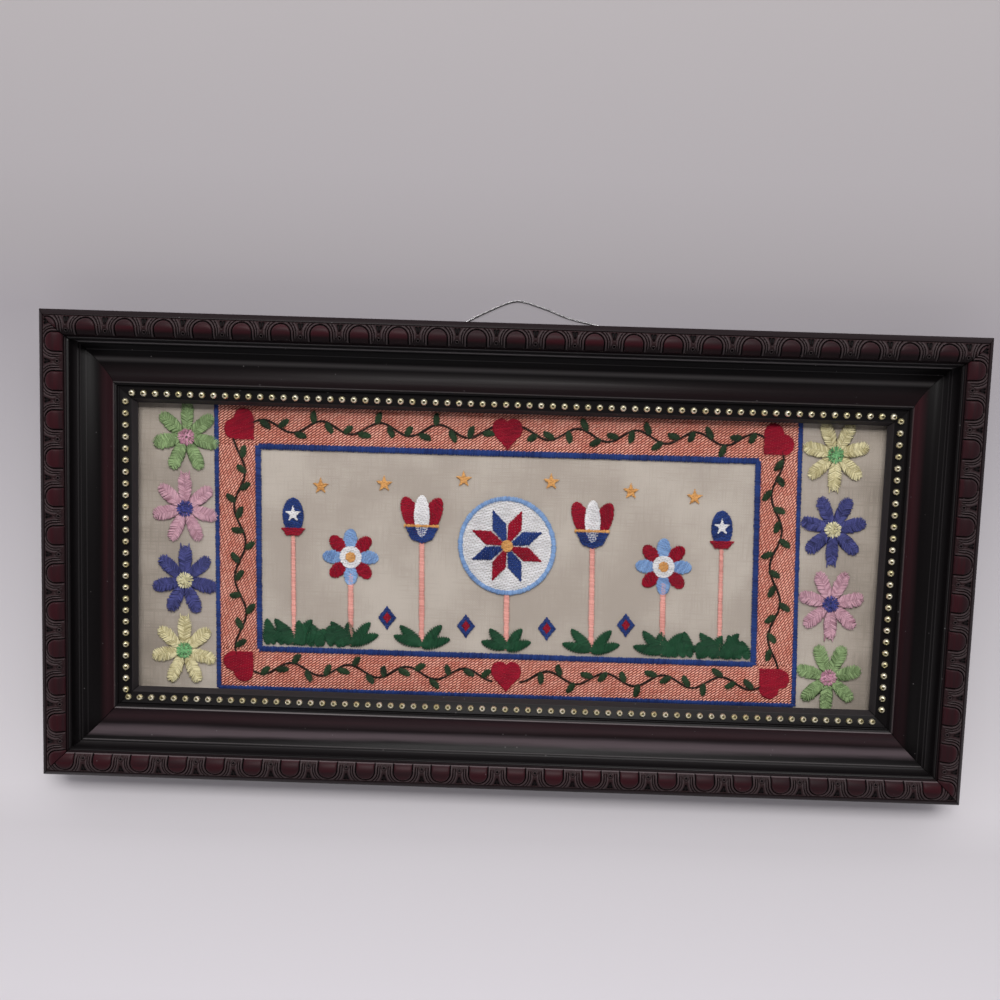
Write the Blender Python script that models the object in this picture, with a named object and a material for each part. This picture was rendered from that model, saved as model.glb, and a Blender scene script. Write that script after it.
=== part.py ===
"""A shallow oblong frame of deep scooped moulding around an embroidered cloth panel under glass.

The frame lies on its back: X runs along it, +Y is its top edge, +Z comes out of its face. The origin is the middle of
the back board's underside, which is what it rests on.
"""

import math

import bmesh
import bpy
from mathutils import Vector

MM = 0.001

# Frame
FRAME_LENGTH = 457 * MM
FRAME_HEIGHT = 230 * MM
GAP = 0.3 * MM  # between any two pieces that meet
RAIL_BACK = 3.3 * MM  # the rails' back, above the back board's underside
REBATE_EDGE = 37.3 * MM  # from the outer edge to the rebate
LIP_UNDERSIDE = 8.4 * MM

# Ornament bed along the outer rim
BED_START = 2.8 * MM
BED_END = 12.9 * MM
BED_HEIGHT = 21.0 * MM
ORNAMENT_END = 12.3 * MM
ORNAMENT_OUTER_TOP = 23.3 * MM
ORNAMENT_INNER_TOP = 22.7 * MM
ORNAMENT_ROUND = 7.0 * MM

# Cove
COVE_START = (15.5 * MM, 10.7 * MM)
COVE_END = (33.9 * MM, 16.3 * MM)
COVE_RADIUS = 14.0 * MM

# What the rebate holds
REBATE_CLEARANCE = 0.4 * MM
CLOTH_THICKNESS = 1.2 * MM
DAISY_THICKNESS = 1.0 * MM
GLASS_THICKNESS = 2.0 * MM

# Back board and its pins
BOARD_INSET = 29.3 * MM
BOARD_THICKNESS = 3.0 * MM
PIN_INSET = 33.3 * MM
PIN_HEAD_RADIUS = 1.8 * MM
PIN_HEAD_HEIGHTS = (0.15 * MM, 0.65 * MM)
PIN_SHANK_RADIUS = 0.7 * MM
PIN_END = 11.0 * MM

# Hanging wire and its screws
SCREW_SPREAD = 75 * MM  # each side of the middle
SCREW_INSET = 11.5 * MM
SCREW_HEAD_RADIUS = 3.0 * MM
SCREW_HEAD_HEIGHTS = (0.4 * MM, 1.5 * MM)
SCREW_SHANK_RADIUS = 1.2 * MM
SCREW_END = 13.0 * MM
WIRE_RADIUS = 0.4 * MM
WIRE_AT_SCREW = 2.4 * MM  # height of its middle where it goes round a shank
WIRE_ON_SURFACE = 0.45 * MM
WIRE_SPACING = 2.6 * MM

# Daisies: seven almond petals round a middle
PETALS = 7
PETAL_MIDDLE = 9.5 * MM
PETAL_HALF_LENGTH = 7.0 * MM
PETAL_HALF_WIDTH = 3.35 * MM
PETAL_OPENING = math.radians(118)  # how far round its ellipse a petal goes before the next one starts
PETAL_STEPS = 12
DAISY_STRETCH = 1.08

# name, distance right of the middle, distance above the middle, way that one petal points
DAISY_PLACES = [
    ("daisy_left_1", -162.2, 55.2, 90),
    ("daisy_left_2", -162.7, 19.2, 90),
    ("daisy_left_3", -162.7, -17.3, 90),
    ("daisy_left_4", -162.9, -53.4, 90),
    ("daisy_right_1", 161.6, 56.5, -90),
    ("daisy_right_2", 162.6, 19.1, -90),
    ("daisy_right_3", 163.7, -18.7, -90),
    ("daisy_right_4", 164.7, -56.3, -90),
]

# distance right of the middle, distance above the frame's middle: the wire between its screws, laid by hand
WIRE_ROUTE = [
    (-66.0, 107.0),
    (-52.0, 109.6),
    (-38.0, 112.4),
    (-29.5, 114.4),
    (-24.0, 116.8),
    (-19.0, 119.6),
    (-13.6, 122.3),
    (-7.7, 125.1),
    (-2.9, 127.0),
    (1.0, 127.8),
    (5.0, 127.3),
    (12.3, 125.2),
    (18.3, 123.2),
    (24.9, 120.7),
    (32.4, 118.7),
    (40.0, 117.2),
    (51.0, 114.6),
    (62.0, 110.8),
    (70.0, 107.2),
]

# node prefix, length along the rail, way along it, way out from the middle, half size across it
RAILS = [
    ("top", FRAME_LENGTH, Vector((1, 0, 0)), Vector((0, 1, 0)), FRAME_HEIGHT / 2),
    ("bottom", FRAME_LENGTH, Vector((1, 0, 0)), Vector((0, -1, 0)), FRAME_HEIGHT / 2),
    ("left", FRAME_HEIGHT, Vector((0, 1, 0)), Vector((-1, 0, 0)), FRAME_LENGTH / 2),
    ("right", FRAME_HEIGHT, Vector((0, 1, 0)), Vector((1, 0, 0)), FRAME_LENGTH / 2),
]


def clear_scene():
    for obj in list(bpy.data.objects):
        bpy.data.objects.remove(obj)


def make_material(name, colour, roughness, metallic=0.0, transmission=0.0):
    material = bpy.data.materials.new(name)
    material.use_nodes = True
    shader = material.node_tree.nodes["Principled BSDF"]
    shader.inputs["Base Color"].default_value = (*colour, 1.0)
    shader.inputs["Roughness"].default_value = roughness
    shader.inputs["Metallic"].default_value = metallic
    shader.inputs["Transmission Weight"].default_value = transmission
    return material


def mesh_object(name, shape, material):
    """An object of a closed bmesh, with its faces turned outwards."""
    bmesh.ops.recalc_face_normals(shape, faces=shape.faces)
    mesh = bpy.data.meshes.new(name)
    shape.to_mesh(mesh)
    shape.free()
    obj = bpy.data.objects.new(name, mesh)
    bpy.context.scene.collection.objects.link(obj)
    if material:
        mesh.materials.append(material)
    return obj


def arc(start, end, radius, steps, side):
    """Points strictly between start and end on a round of this radius; side 1 hollows to the right of the way along."""
    first, last = Vector(start), Vector(end)
    chord = last - first
    middle = (first + last) / 2
    across = Vector((-chord.y, chord.x)).normalized()
    centre = middle + across * side * math.sqrt(radius**2 - (chord.length / 2) ** 2)
    begin = math.atan2(first.y - centre.y, first.x - centre.x)
    finish = math.atan2(last.y - centre.y, last.x - centre.x)
    sweep = (finish - begin + math.pi) % (2 * math.pi) - math.pi
    angles = [begin + sweep * step / steps for step in range(1, steps)]
    return [(centre.x + radius * math.cos(a), centre.y + radius * math.sin(a)) for a in angles]


def scaled(points):
    return [(across * MM, up * MM) for across, up in points]


def rail_profile():
    """Closed outline of the moulding: distance in from the outer edge, height."""
    side_top = (5.2 * MM, 11.5 * MM)
    fillet_foot = (1.4 * MM, 16.6 * MM)
    outline = [(5.2 * MM, RAIL_BACK), side_top]
    outline += arc(side_top, fillet_foot, 5.2 * MM, 6, 1)  # hollow under the rim
    outline += [fillet_foot]
    outline += scaled([(0.5, 17.0), (0.0, 17.5), (0.0, 20.4), (0.5, 21.1), (2.2, 22.9)])  # outer fillet
    outline += [(BED_START, 23.2 * MM), (BED_START, BED_HEIGHT), (BED_END, BED_HEIGHT)]
    outline += scaled([(13.0, 20.2), (14.0, 20.0), (14.4, 11.8), (15.2, 11.5)])  # small step, wall, ledge
    outline += [COVE_START] + arc(COVE_START, COVE_END, COVE_RADIUS, 16, 1) + [COVE_END]
    outline += scaled([(34.3, 15.2), (35.0, 15.0), (35.3, 13.9), (35.9, 13.9)])  # two steps down
    outline += scaled([(36.2, 14.4), (41.5, 11.9), (43.0, 9.1), (43.3, 8.9)])  # bead strip and inner bevel
    outline += [(43.3 * MM, LIP_UNDERSIDE), (REBATE_EDGE, LIP_UNDERSIDE), (REBATE_EDGE, RAIL_BACK)]
    return outline


def ornament_profile():
    """Closed outline of the rounded strip that carries the ornament."""
    outer = (BED_START + GAP, ORNAMENT_OUTER_TOP)
    inner = (ORNAMENT_END, ORNAMENT_INNER_TOP)
    base = BED_HEIGHT + GAP
    outline = [(BED_START + GAP, base), outer]
    outline += arc(outer, inner, ORNAMENT_ROUND, 8, -1)
    outline += [inner, (ORNAMENT_END, base)]
    return outline


def mitred_piece(name, profile, rail, material):
    """The profile run along one rail, cut at 45 degrees at both ends."""
    _, length, along, outwards, half_size = rail
    shape = bmesh.new()
    ends = []
    for way in (-1, 1):
        loop = []
        for inset, height in profile:
            reach = way * (length / 2 - inset - GAP / math.sqrt(2))
            place = along * reach + outwards * (half_size - inset)
            loop.append(shape.verts.new((place.x, place.y, height)))
        shape.faces.new(loop)
        ends.append(loop)
    count = len(profile)
    for i in range(count):
        j = (i + 1) % count
        shape.faces.new((ends[0][i], ends[0][j], ends[1][j], ends[1][i]))
    return mesh_object(name, shape, material)


def slab(name, half_length, half_width, low, high, material):
    shape = bmesh.new()
    bmesh.ops.create_cube(shape, size=1)
    for vert in shape.verts:
        vert.co.x *= 2 * half_length
        vert.co.y *= 2 * half_width
        vert.co.z = low if vert.co.z < 0 else high
    return mesh_object(name, shape, material)


def turned(name, profile, places, segments, material):
    """A solid turned round Z from rows of radius and height, low to high, standing at each of the places."""
    shape = bmesh.new()
    angles = [2 * math.pi * step / segments for step in range(segments)]
    for x, y in places:
        rings = []
        for radius, height in profile:
            ring = [shape.verts.new((x + radius * math.cos(a), y + radius * math.sin(a), height)) for a in angles]
            rings.append(ring)
        shape.faces.new(rings[0])
        shape.faces.new(rings[-1])
        for lower, upper in zip(rings, rings[1:]):
            for i in range(segments):
                j = (i + 1) % segments
                shape.faces.new((lower[i], lower[j], upper[j], upper[i]))
    return mesh_object(name, shape, material)


def headed_profile(head_radius, head_heights, shank_radius, end):
    """Radius and height of a flat-headed pin or screw that stands on its head."""
    low, high = head_heights
    edge = 0.15 * MM
    return [
        (head_radius - edge, low),
        (head_radius, low + edge),
        (head_radius, high),
        (shank_radius, high),
        (shank_radius, end - shank_radius),
        (shank_radius / 3, end),
    ]


def hole_profile(head_radius, head_top, shank_radius, end):
    """Radius and height of the hole that clears such a pin, open at the back."""
    return [
        (head_radius + GAP, -1 * MM),
        (head_radius + GAP, head_top + GAP),
        (shank_radius + GAP, head_top + GAP),
        (shank_radius + GAP, end + GAP),
    ]


def cut(obj, cutter):
    modifier = obj.modifiers.new("holes", "BOOLEAN")
    modifier.object = cutter


def hide_cutter(cutter):
    cutter.hide_render = True
    cutter.display_type = "WIRE"


def pin_places():
    across = FRAME_HEIGHT / 2 - PIN_INSET
    along = FRAME_LENGTH / 2 - PIN_INSET
    long_sides = [(x * MM, side * across) for side in (1, -1) for x in (-150, 0, 150)]
    short_sides = [(side * along, y * MM) for side in (-1, 1) for y in (35, -35)]
    return long_sides + short_sides


def screw_places():
    up = FRAME_HEIGHT / 2 - SCREW_INSET
    return [("left", -SCREW_SPREAD, up), ("right", SCREW_SPREAD, up)]


def make_daisy(row, low, material):
    name, x, y, turn = row
    outline = []
    for petal in range(PETALS):
        heading = math.radians(turn) + 2 * math.pi * petal / PETALS
        for step in range(PETAL_STEPS + 1):
            round_petal = PETAL_OPENING * (2 * step / PETAL_STEPS - 1)
            out = PETAL_MIDDLE + PETAL_HALF_LENGTH * math.cos(round_petal)
            side = PETAL_HALF_WIDTH * math.sin(round_petal)
            across = out * math.cos(heading) - side * math.sin(heading)
            up = out * math.sin(heading) + side * math.cos(heading)
            outline.append((x * MM + across, y * MM + up * DAISY_STRETCH))
    shape = bmesh.new()
    face = shape.faces.new([shape.verts.new((across, up, low)) for across, up in outline])
    raised = bmesh.ops.extrude_face_region(shape, geom=[face])["geom"]
    for element in raised:
        if isinstance(element, bmesh.types.BMVert):
            element.co.z = low + DAISY_THICKNESS
    return mesh_object(name, shape, material)


def round_shank(middle_x, middle_y, first, last, steps):
    """Points of the wire round a screw's shank, between two headings in degrees."""
    radius = SCREW_SHANK_RADIUS + GAP + WIRE_RADIUS
    points = []
    for step in range(steps + 1):
        angle = math.radians(first + (last - first) * step / steps)
        x = middle_x + radius * math.cos(angle)
        y = middle_y + radius * math.sin(angle)
        points.append(Vector((x, y, WIRE_AT_SCREW)))
    return points


def smooth_between(points, spacing):
    """A Catmull-Rom curve through the points, read at even steps; its two end points only steer it."""
    path = []
    for before, start, end, after in zip(points, points[1:], points[2:], points[3:]):
        steps = max(1, round((end - start).length / spacing))
        for step in range(steps):
            t = step / steps
            path.append(
                0.5
                * (
                    2 * start
                    + (end - before) * t
                    + (2 * before - 5 * start + 4 * end - after) * t**2
                    + (3 * start - before - 3 * end + after) * t**3
                )
            )
    return path


def make_wire(material):
    """The twisted wire as one plain tube: round one shank, along the surface past the top edge, round the other."""
    (_, left_x, left_y), (_, right_x, right_y) = screw_places()
    start = round_shank(left_x, left_y, -50, -260, 6)
    finish = round_shank(right_x, right_y, 62, -148, 6)
    laid = []
    for x, y in WIRE_ROUTE:
        from_screw = min(x * MM - left_x, right_x - x * MM)
        drop = min(1, from_screw / (22 * MM))
        ease = drop * drop * (3 - 2 * drop)
        height = WIRE_AT_SCREW + (WIRE_ON_SURFACE - WIRE_AT_SCREW) * ease
        laid.append(Vector((x * MM, y * MM, height)))
    run = smooth_between(start[-2:] + laid + finish[:2], WIRE_SPACING)
    path = start[:-1] + run + finish
    curve = bpy.data.curves.new("hanging_wire", "CURVE")
    curve.dimensions = "3D"
    curve.bevel_depth = WIRE_RADIUS
    curve.bevel_resolution = 2
    curve.use_fill_caps = True
    curve.materials.append(material)
    spline = curve.splines.new("POLY")
    spline.points.add(len(path) - 1)
    for point, place in zip(spline.points, path):
        point.co = (*place, 1)
    obj = bpy.data.objects.new("hanging_wire", curve)
    bpy.context.scene.collection.objects.link(obj)


def main():
    clear_scene()
    bpy.context.scene.unit_settings.scale_length = 1.0

    wood = make_material("dark_wood", (0.020, 0.010, 0.010), 0.35)
    ornament = make_material("mahogany_ornament", (0.040, 0.016, 0.017), 0.4)
    board = make_material("brown_board", (0.23, 0.15, 0.09), 0.8)
    steel = make_material("steel", (0.55, 0.55, 0.56), 0.35, metallic=1.0)
    clear_glass = make_material("clear_glass", (0.95, 0.97, 0.96), 0.03, transmission=1.0)
    cream = make_material("cream_cloth", (0.52, 0.47, 0.40), 0.9)
    threads = {
        "green": make_material("green_thread", (0.25, 0.45, 0.18), 0.6),
        "pink": make_material("pink_thread", (0.60, 0.32, 0.42), 0.6),
        "blue": make_material("blue_thread", (0.09, 0.10, 0.30), 0.6),
        "yellow": make_material("yellow_thread", (0.62, 0.57, 0.28), 0.6),
    }
    daisy_colours = ("green", "pink", "blue", "yellow", "yellow", "blue", "pink", "green")

    pin_hole = hole_profile(PIN_HEAD_RADIUS, PIN_HEAD_HEIGHTS[1], PIN_SHANK_RADIUS, PIN_END)
    pin_cutter = turned("board_pin_holes", pin_hole, pin_places(), 12, None)
    screw_hole = hole_profile(SCREW_SHANK_RADIUS, SCREW_HEAD_HEIGHTS[1], SCREW_SHANK_RADIUS, SCREW_END)
    screw_cutter = turned("screw_holes", screw_hole, [(x, y) for _, x, y in screw_places()], 12, None)
    hide_cutter(pin_cutter)
    hide_cutter(screw_cutter)

    for rail in RAILS:
        piece = mitred_piece("rail_" + rail[0], rail_profile(), rail, wood)
        cut(piece, pin_cutter)
        if rail[0] == "top":
            cut(piece, screw_cutter)
        mitred_piece("ornament_" + rail[0], ornament_profile(), rail, ornament)

    half_length = FRAME_LENGTH / 2 - REBATE_EDGE - REBATE_CLEARANCE
    half_width = FRAME_HEIGHT / 2 - REBATE_EDGE - REBATE_CLEARANCE
    cloth_low = BOARD_THICKNESS + GAP
    cloth_high = cloth_low + CLOTH_THICKNESS
    glass_high = LIP_UNDERSIDE - GAP
    slab("cloth_panel", half_length, half_width, cloth_low, cloth_high, cream)
    slab("glass", half_length, half_width, glass_high - GLASS_THICKNESS, glass_high, clear_glass)
    for row, colour in zip(DAISY_PLACES, daisy_colours):
        make_daisy(row, cloth_high + GAP, threads[colour])

    board_half = (FRAME_LENGTH / 2 - BOARD_INSET, FRAME_HEIGHT / 2 - BOARD_INSET)
    back_board = slab("back_board", *board_half, 0, BOARD_THICKNESS, board)
    cut(back_board, pin_cutter)
    pin = headed_profile(PIN_HEAD_RADIUS, PIN_HEAD_HEIGHTS, PIN_SHANK_RADIUS, PIN_END)
    for number, place in enumerate(pin_places(), 1):
        turned(f"board_pin_{number}", pin, [place], 12, steel)

    screw = headed_profile(SCREW_HEAD_RADIUS, SCREW_HEAD_HEIGHTS, SCREW_SHANK_RADIUS, SCREW_END)
    for side, x, y in screw_places():
        turned("hanger_screw_" + side, screw, [(x, y)], 16, steel)
    make_wire(steel)


main()
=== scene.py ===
import math
import random
from functools import partialmethod

import bmesh
import bpy
import numpy as np
from mathutils import Matrix, Vector


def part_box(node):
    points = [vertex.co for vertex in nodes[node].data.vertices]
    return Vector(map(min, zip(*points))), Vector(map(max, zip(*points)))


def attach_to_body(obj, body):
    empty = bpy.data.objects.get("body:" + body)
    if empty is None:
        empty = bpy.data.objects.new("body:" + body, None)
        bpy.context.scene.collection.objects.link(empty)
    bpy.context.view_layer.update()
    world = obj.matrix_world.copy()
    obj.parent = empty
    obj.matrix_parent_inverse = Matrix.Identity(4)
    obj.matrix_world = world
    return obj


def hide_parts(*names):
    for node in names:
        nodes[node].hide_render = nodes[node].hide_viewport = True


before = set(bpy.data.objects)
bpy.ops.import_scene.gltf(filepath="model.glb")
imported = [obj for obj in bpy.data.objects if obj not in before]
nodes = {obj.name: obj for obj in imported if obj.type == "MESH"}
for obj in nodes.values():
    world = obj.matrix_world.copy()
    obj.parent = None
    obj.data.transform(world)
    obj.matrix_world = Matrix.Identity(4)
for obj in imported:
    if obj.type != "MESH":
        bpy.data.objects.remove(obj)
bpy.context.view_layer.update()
mm = 0.001

# the frame's own sizes, read from the solids it was built from
halfLength = -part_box("rail_left")[0].x
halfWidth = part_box("rail_top")[1].y
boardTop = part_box("back_board")[1].z
clothLow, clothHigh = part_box("cloth_panel")
stripLow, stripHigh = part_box("ornament_bottom")


def rgba(code):
    # "#rrggbb" as linear red, green and blue, and a full alpha
    parts = [int(code[i : i + 2], 16) / 255 for i in (1, 3, 5)]
    return (*[c / 12.92 if c <= 0.04045 else ((c + 0.055) / 1.055) ** 2.4 for c in parts], 1.0)


class Signal:
    # a node's output, so that sums on it are written as sums
    def __init__(self, socket):
        self.socket = socket
        self.tree = socket.id_data

    def calc(self, operation, *others, clamp=False):
        values = dict(enumerate((self, *others)))
        return output(self.tree, "ShaderNodeMath", values, operation=operation, use_clamp=clamp)

    __add__ = partialmethod(calc, "ADD")
    __sub__ = partialmethod(calc, "SUBTRACT")
    __mul__ = partialmethod(calc, "MULTIPLY")
    __truediv__ = partialmethod(calc, "DIVIDE")
    __lt__ = partialmethod(calc, "LESS_THAN")
    __gt__ = partialmethod(calc, "GREATER_THAN")
    __abs__ = partialmethod(calc, "ABSOLUTE")

    def remap(self, low, high, toLow=0.0, toHigh=1.0, kind="SMOOTHSTEP"):
        values = {"Value": self, "From Min": low, "From Max": high, "To Min": toLow, "To Max": toHigh}
        return output(self.tree, "ShaderNodeMapRange", values, interpolation_type=kind)


def setInputs(node, values):
    # links signals to a node's inputs, and sets the rest; a colour may be written "#rrggbb"
    for name, value in values.items():
        if isinstance(value, Signal):
            value.tree.links.new(value.socket, node.inputs[name])
        else:
            isColour = isinstance(value, str) and value.startswith("#")
            node.inputs[name].default_value = rgba(value) if isColour else value


def addNode(tree, kind, values=None, **settings):
    node = tree.nodes.new(kind)
    for name, value in settings.items():
        setattr(node, name, value)
    setInputs(node, values or {})
    return node


def output(tree, kind, values=None, which=0, **settings):
    return Signal(addNode(tree, kind, values, **settings).outputs[which])


def outputs(node):
    return {socket.name: Signal(socket) for socket in node.outputs}


def split(vector):
    parts = addNode(vector.tree, "ShaderNodeSeparateXYZ", {0: vector})
    return [Signal(socket) for socket in parts.outputs]


def join(tree, *parts):
    return output(tree, "ShaderNodeCombineXYZ", dict(enumerate(parts)))


def vectorMath(operation, first, second=None, scale=None):
    values = {0: first, 1: second, "Scale": scale}
    values = {name: value for name, value in values.items() if value is not None}
    return output(first.tree, "ShaderNodeVectorMath", values, operation=operation)


def mixValue(share, first, second):
    return output(share.tree, "ShaderNodeMix", {0: share, 2: first, 3: second})


def mixColour(share, first, second):
    return output(share.tree, "ShaderNodeMix", {0: share, 6: first, 7: second}, 2, data_type="RGBA")


def noise(vector, scale, detail=2.0, rough=0.5, which=0):
    values = {"Vector": vector, "Scale": scale, "Detail": detail, "Roughness": rough}
    return output(vector.tree, "ShaderNodeTexNoise", values, which)


def stretched(vector, scale):
    return output(vector.tree, "ShaderNodeMapping", {"Vector": vector, "Scale": scale})


def objectSpot(tree):
    return output(tree, "ShaderNodeTexCoord", None, "Object")


def attribute(tree, name):
    return output(tree, "ShaderNodeAttribute", None, "Fac", attribute_name=name)


def pointValue(tree, name, dataType="FLOAT"):
    return output(tree, "GeometryNodeInputNamedAttribute", {"Name": name}, data_type=dataType)


def newGroup(name, given, made, kind="ShaderNodeTree"):
    # given and made name each socket with its type, or with the number it starts from
    group = bpy.data.node_groups.new(name, kind)
    for way, sockets in (("INPUT", given), ("OUTPUT", made)):
        for label, value in sockets.items():
            isType = isinstance(value, str)
            socketType = "NodeSocket" + (value if isType else type(value).__name__.capitalize())
            socket = group.interface.new_socket(name=label, in_out=way, socket_type=socketType)
            if not isType:
                socket.default_value = value
    return group, outputs(group.nodes.new("NodeGroupInput")), group.nodes.new("NodeGroupOutput")


def useGroup(tree, group, values=None):
    return outputs(addNode(tree, "ShaderNodeGroup", values, node_tree=group))


def newShapeGroup(name, given):
    given = {"Geometry": "Geometry", **given, "Material": "Material"}
    return newGroup(name, given, {"Geometry": "Geometry"}, "GeometryNodeTree")


def endShapeGroup(source, result, made):
    # instances made real, in the group's material
    real = output(made.tree, "GeometryNodeRealizeInstances", {0: made})
    values = {"Geometry": real, "Material": source["Material"]}
    setInputs(result, {0: output(made.tree, "GeometryNodeSetMaterial", values)})


def newMaterial(name, **values):
    material = bpy.data.materials.new(name)
    material.use_nodes = True
    shader = material.node_tree.nodes["Principled BSDF"]
    setInputs(shader, {label.replace("_", " "): value for label, value in values.items()})
    return material, material.node_tree, shader


def finishShader(shader, colour, rough=None, height=None, strength=0.0, depth=0.0):
    setInputs(shader, {"Base Color": colour})
    if rough:
        setInputs(shader, {"Roughness": rough})
    if height:
        values = {"Height": height, "Strength": strength, "Distance": depth}
        setInputs(shader, {"Normal": output(height.tree, "ShaderNodeBump", values)})


def placed(name, data):
    obj = bpy.data.objects.new(name, data)
    bpy.context.scene.collection.objects.link(obj)
    return obj


def newObject(name, points, faces, material=None):
    mesh = bpy.data.meshes.new(name)
    mesh.from_pydata([tuple(p) for p in points], [], [tuple(f) for f in faces])
    mesh.update()
    mesh.shade_smooth()
    if material:
        mesh.materials.append(material)
    return placed(name, mesh)


def ringFaces(first, count, rings):
    # quads between closed rings of points that follow each other
    faces = []
    for start in range(first, first + (rings - 1) * count, count):
        for k in range(count):
            after = (k + 1) % count
            faces.append((start + k, start + count + k, start + count + after, start + after))
    return faces


def gridFaces(first, wide, high):
    corners = [first + j * wide + i for j in range(high - 1) for i in range(wide - 1)]
    return [(k, k + 1, k + wide + 1, k + wide) for k in corners]


def keepValues(obj, lists):
    for label, values in lists.items():
        obj.data.attributes.new(label, "FLOAT", "POINT").data.foreach_set("value", values)


def grown(obj, name, group, values):
    # what a shape group makes of an object, as a plain mesh in its place
    modifier = obj.modifiers.new(group.name, "NODES")
    modifier.node_group = group
    sockets = {s.name: s.identifier for s in group.interface.items_tree if s.in_out == "INPUT"}
    for label, value in values.items():
        modifier[sockets[label]] = value
    graph = bpy.context.evaluated_depsgraph_get()
    seen = obj.evaluated_get(graph)
    mesh = bpy.data.meshes.new_from_object(seen, preserve_all_data_layers=True, depsgraph=graph)
    mesh.name = name
    mesh.shade_smooth()
    bpy.data.objects.remove(obj)
    return placed(name, mesh)


def editable(mesh, merge):
    # a mesh opened for editing, with points nearer than merge made one
    shape = bmesh.new()
    shape.from_mesh(mesh)
    bmesh.ops.remove_doubles(shape, verts=shape.verts, dist=merge)
    return shape


def close(shape, mesh, recalculate=True):
    if recalculate:
        bmesh.ops.recalc_face_normals(shape, faces=shape.faces)
    shape.to_mesh(mesh)
    shape.free()


def thicken(obj, thickness):
    thick = obj.modifiers.new("thickness", "SOLIDIFY")
    thick.thickness = thickness
    thick.offset = -1.0


def attach(obj, slotName, *replaced):
    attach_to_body(obj, "root")
    if replaced:
        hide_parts(*replaced)


stage = {
    "cameraPlace": (-1.5 * mm, 70.4 * mm, 485.0 * mm),
    "cameraTurn": (-4.965, 0.528, 1.806),
    "lens": 34.56,
    "sensor": 36,
    "nearest": 0.01,
}


def makeCamera():
    data = bpy.data.cameras.new("camera")
    data.lens = stage["lens"]
    data.sensor_width = stage["sensor"]
    data.clip_start = stage["nearest"]
    camera = placed("camera", data)
    camera.location = stage["cameraPlace"]
    camera.rotation_euler = [math.radians(a) for a in stage["cameraTurn"]]
    bpy.context.scene.camera = camera


makeCamera()
print("camera placed")

wire = {
    "radius": 0.4 * mm,
    # the number of strands, how far off the middle they wind, length of a full turn, their radius and step
    "strands": (3, 0.21 * mm, 3.4 * mm, 0.19 * mm, 0.45 * mm),
    "tail": (1, 0.52 * mm, 2.6 * mm, 0.2 * mm, 0.225 * mm),
    "tailSpan": (0.16, 0.37),  # shares of the length between which the wound tail lies
    "atScrew": 2.4 * mm,  # heights of the wire's middle
    "onSurface": 0.45 * mm,
    "shankReach": 1.9 * mm,  # from a screw's middle to the wire's
    "windSteps": 6,
    "leftWind": (-50, -260),  # from and to which way off its screw, in degrees
    "rightWind": (62, -148),
    "easeLength": 22 * mm,
    "spacing": 2.6 * mm,
    "sides": 6,
    # heights above the frame's middle by distances right of it, in millimetres
    "route": {
        -66.0: 107.0,
        -52.0: 109.6,
        -38.0: 112.4,
        -29.5: 114.4,
        -24.0: 116.8,
        -19.0: 119.6,
        -13.6: 122.3,
        -7.7: 125.1,
        -2.9: 127.0,
        1.0: 127.8,
        5.0: 127.3,
        12.3: 125.2,
        18.3: 123.2,
        24.9: 120.7,
        32.4: 118.7,
        40.0: 117.2,
        51.0: 114.6,
        62.0: 110.8,
        70.0: 107.2,
    },
}


def screwMiddle(name):
    low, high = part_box(name)
    return (low.x + high.x) / 2, (low.y + high.y) / 2


def roundShank(middle, first, last):
    points = []
    for step in range(wire["windSteps"] + 1):
        angle = math.radians(first + (last - first) * step / wire["windSteps"])
        x = middle[0] + wire["shankReach"] * math.cos(angle)
        y = middle[1] + wire["shankReach"] * math.sin(angle)
        points.append(Vector((x, y, wire["atScrew"])))
    return points


def smoothBetween(points, spacing):
    path = []
    for before, start, end, after in zip(points, points[1:], points[2:], points[3:]):
        steps = max(1, round((end - start).length / spacing))
        for step in range(steps):
            t = step / steps
            a = 2 * start + (end - before) * t
            b = (2 * before - 5 * start + 4 * end - after) * t**2
            c = (3 * start - before - 3 * end + after) * t**3
            path.append(0.5 * (a + b + c))
    return path


def wirePath():
    left = screwMiddle("hanger_screw_left")
    right = screwMiddle("hanger_screw_right")
    start = roundShank(left, *wire["leftWind"])
    finish = roundShank(right, *wire["rightWind"])
    laid = []
    for x, y in wire["route"].items():
        fromScrew = min(x * mm - left[0], right[0] - x * mm)
        drop = min(1, fromScrew / wire["easeLength"])
        ease = drop * drop * (3 - 2 * drop)
        height = wire["atScrew"] + (wire["onSurface"] - wire["atScrew"]) * ease
        laid.append(Vector((x * mm, y * mm, height)))
    run = smoothBetween(start[-2:] + laid + finish[:2], wire["spacing"])
    return start[:-1] + run + finish


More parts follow.
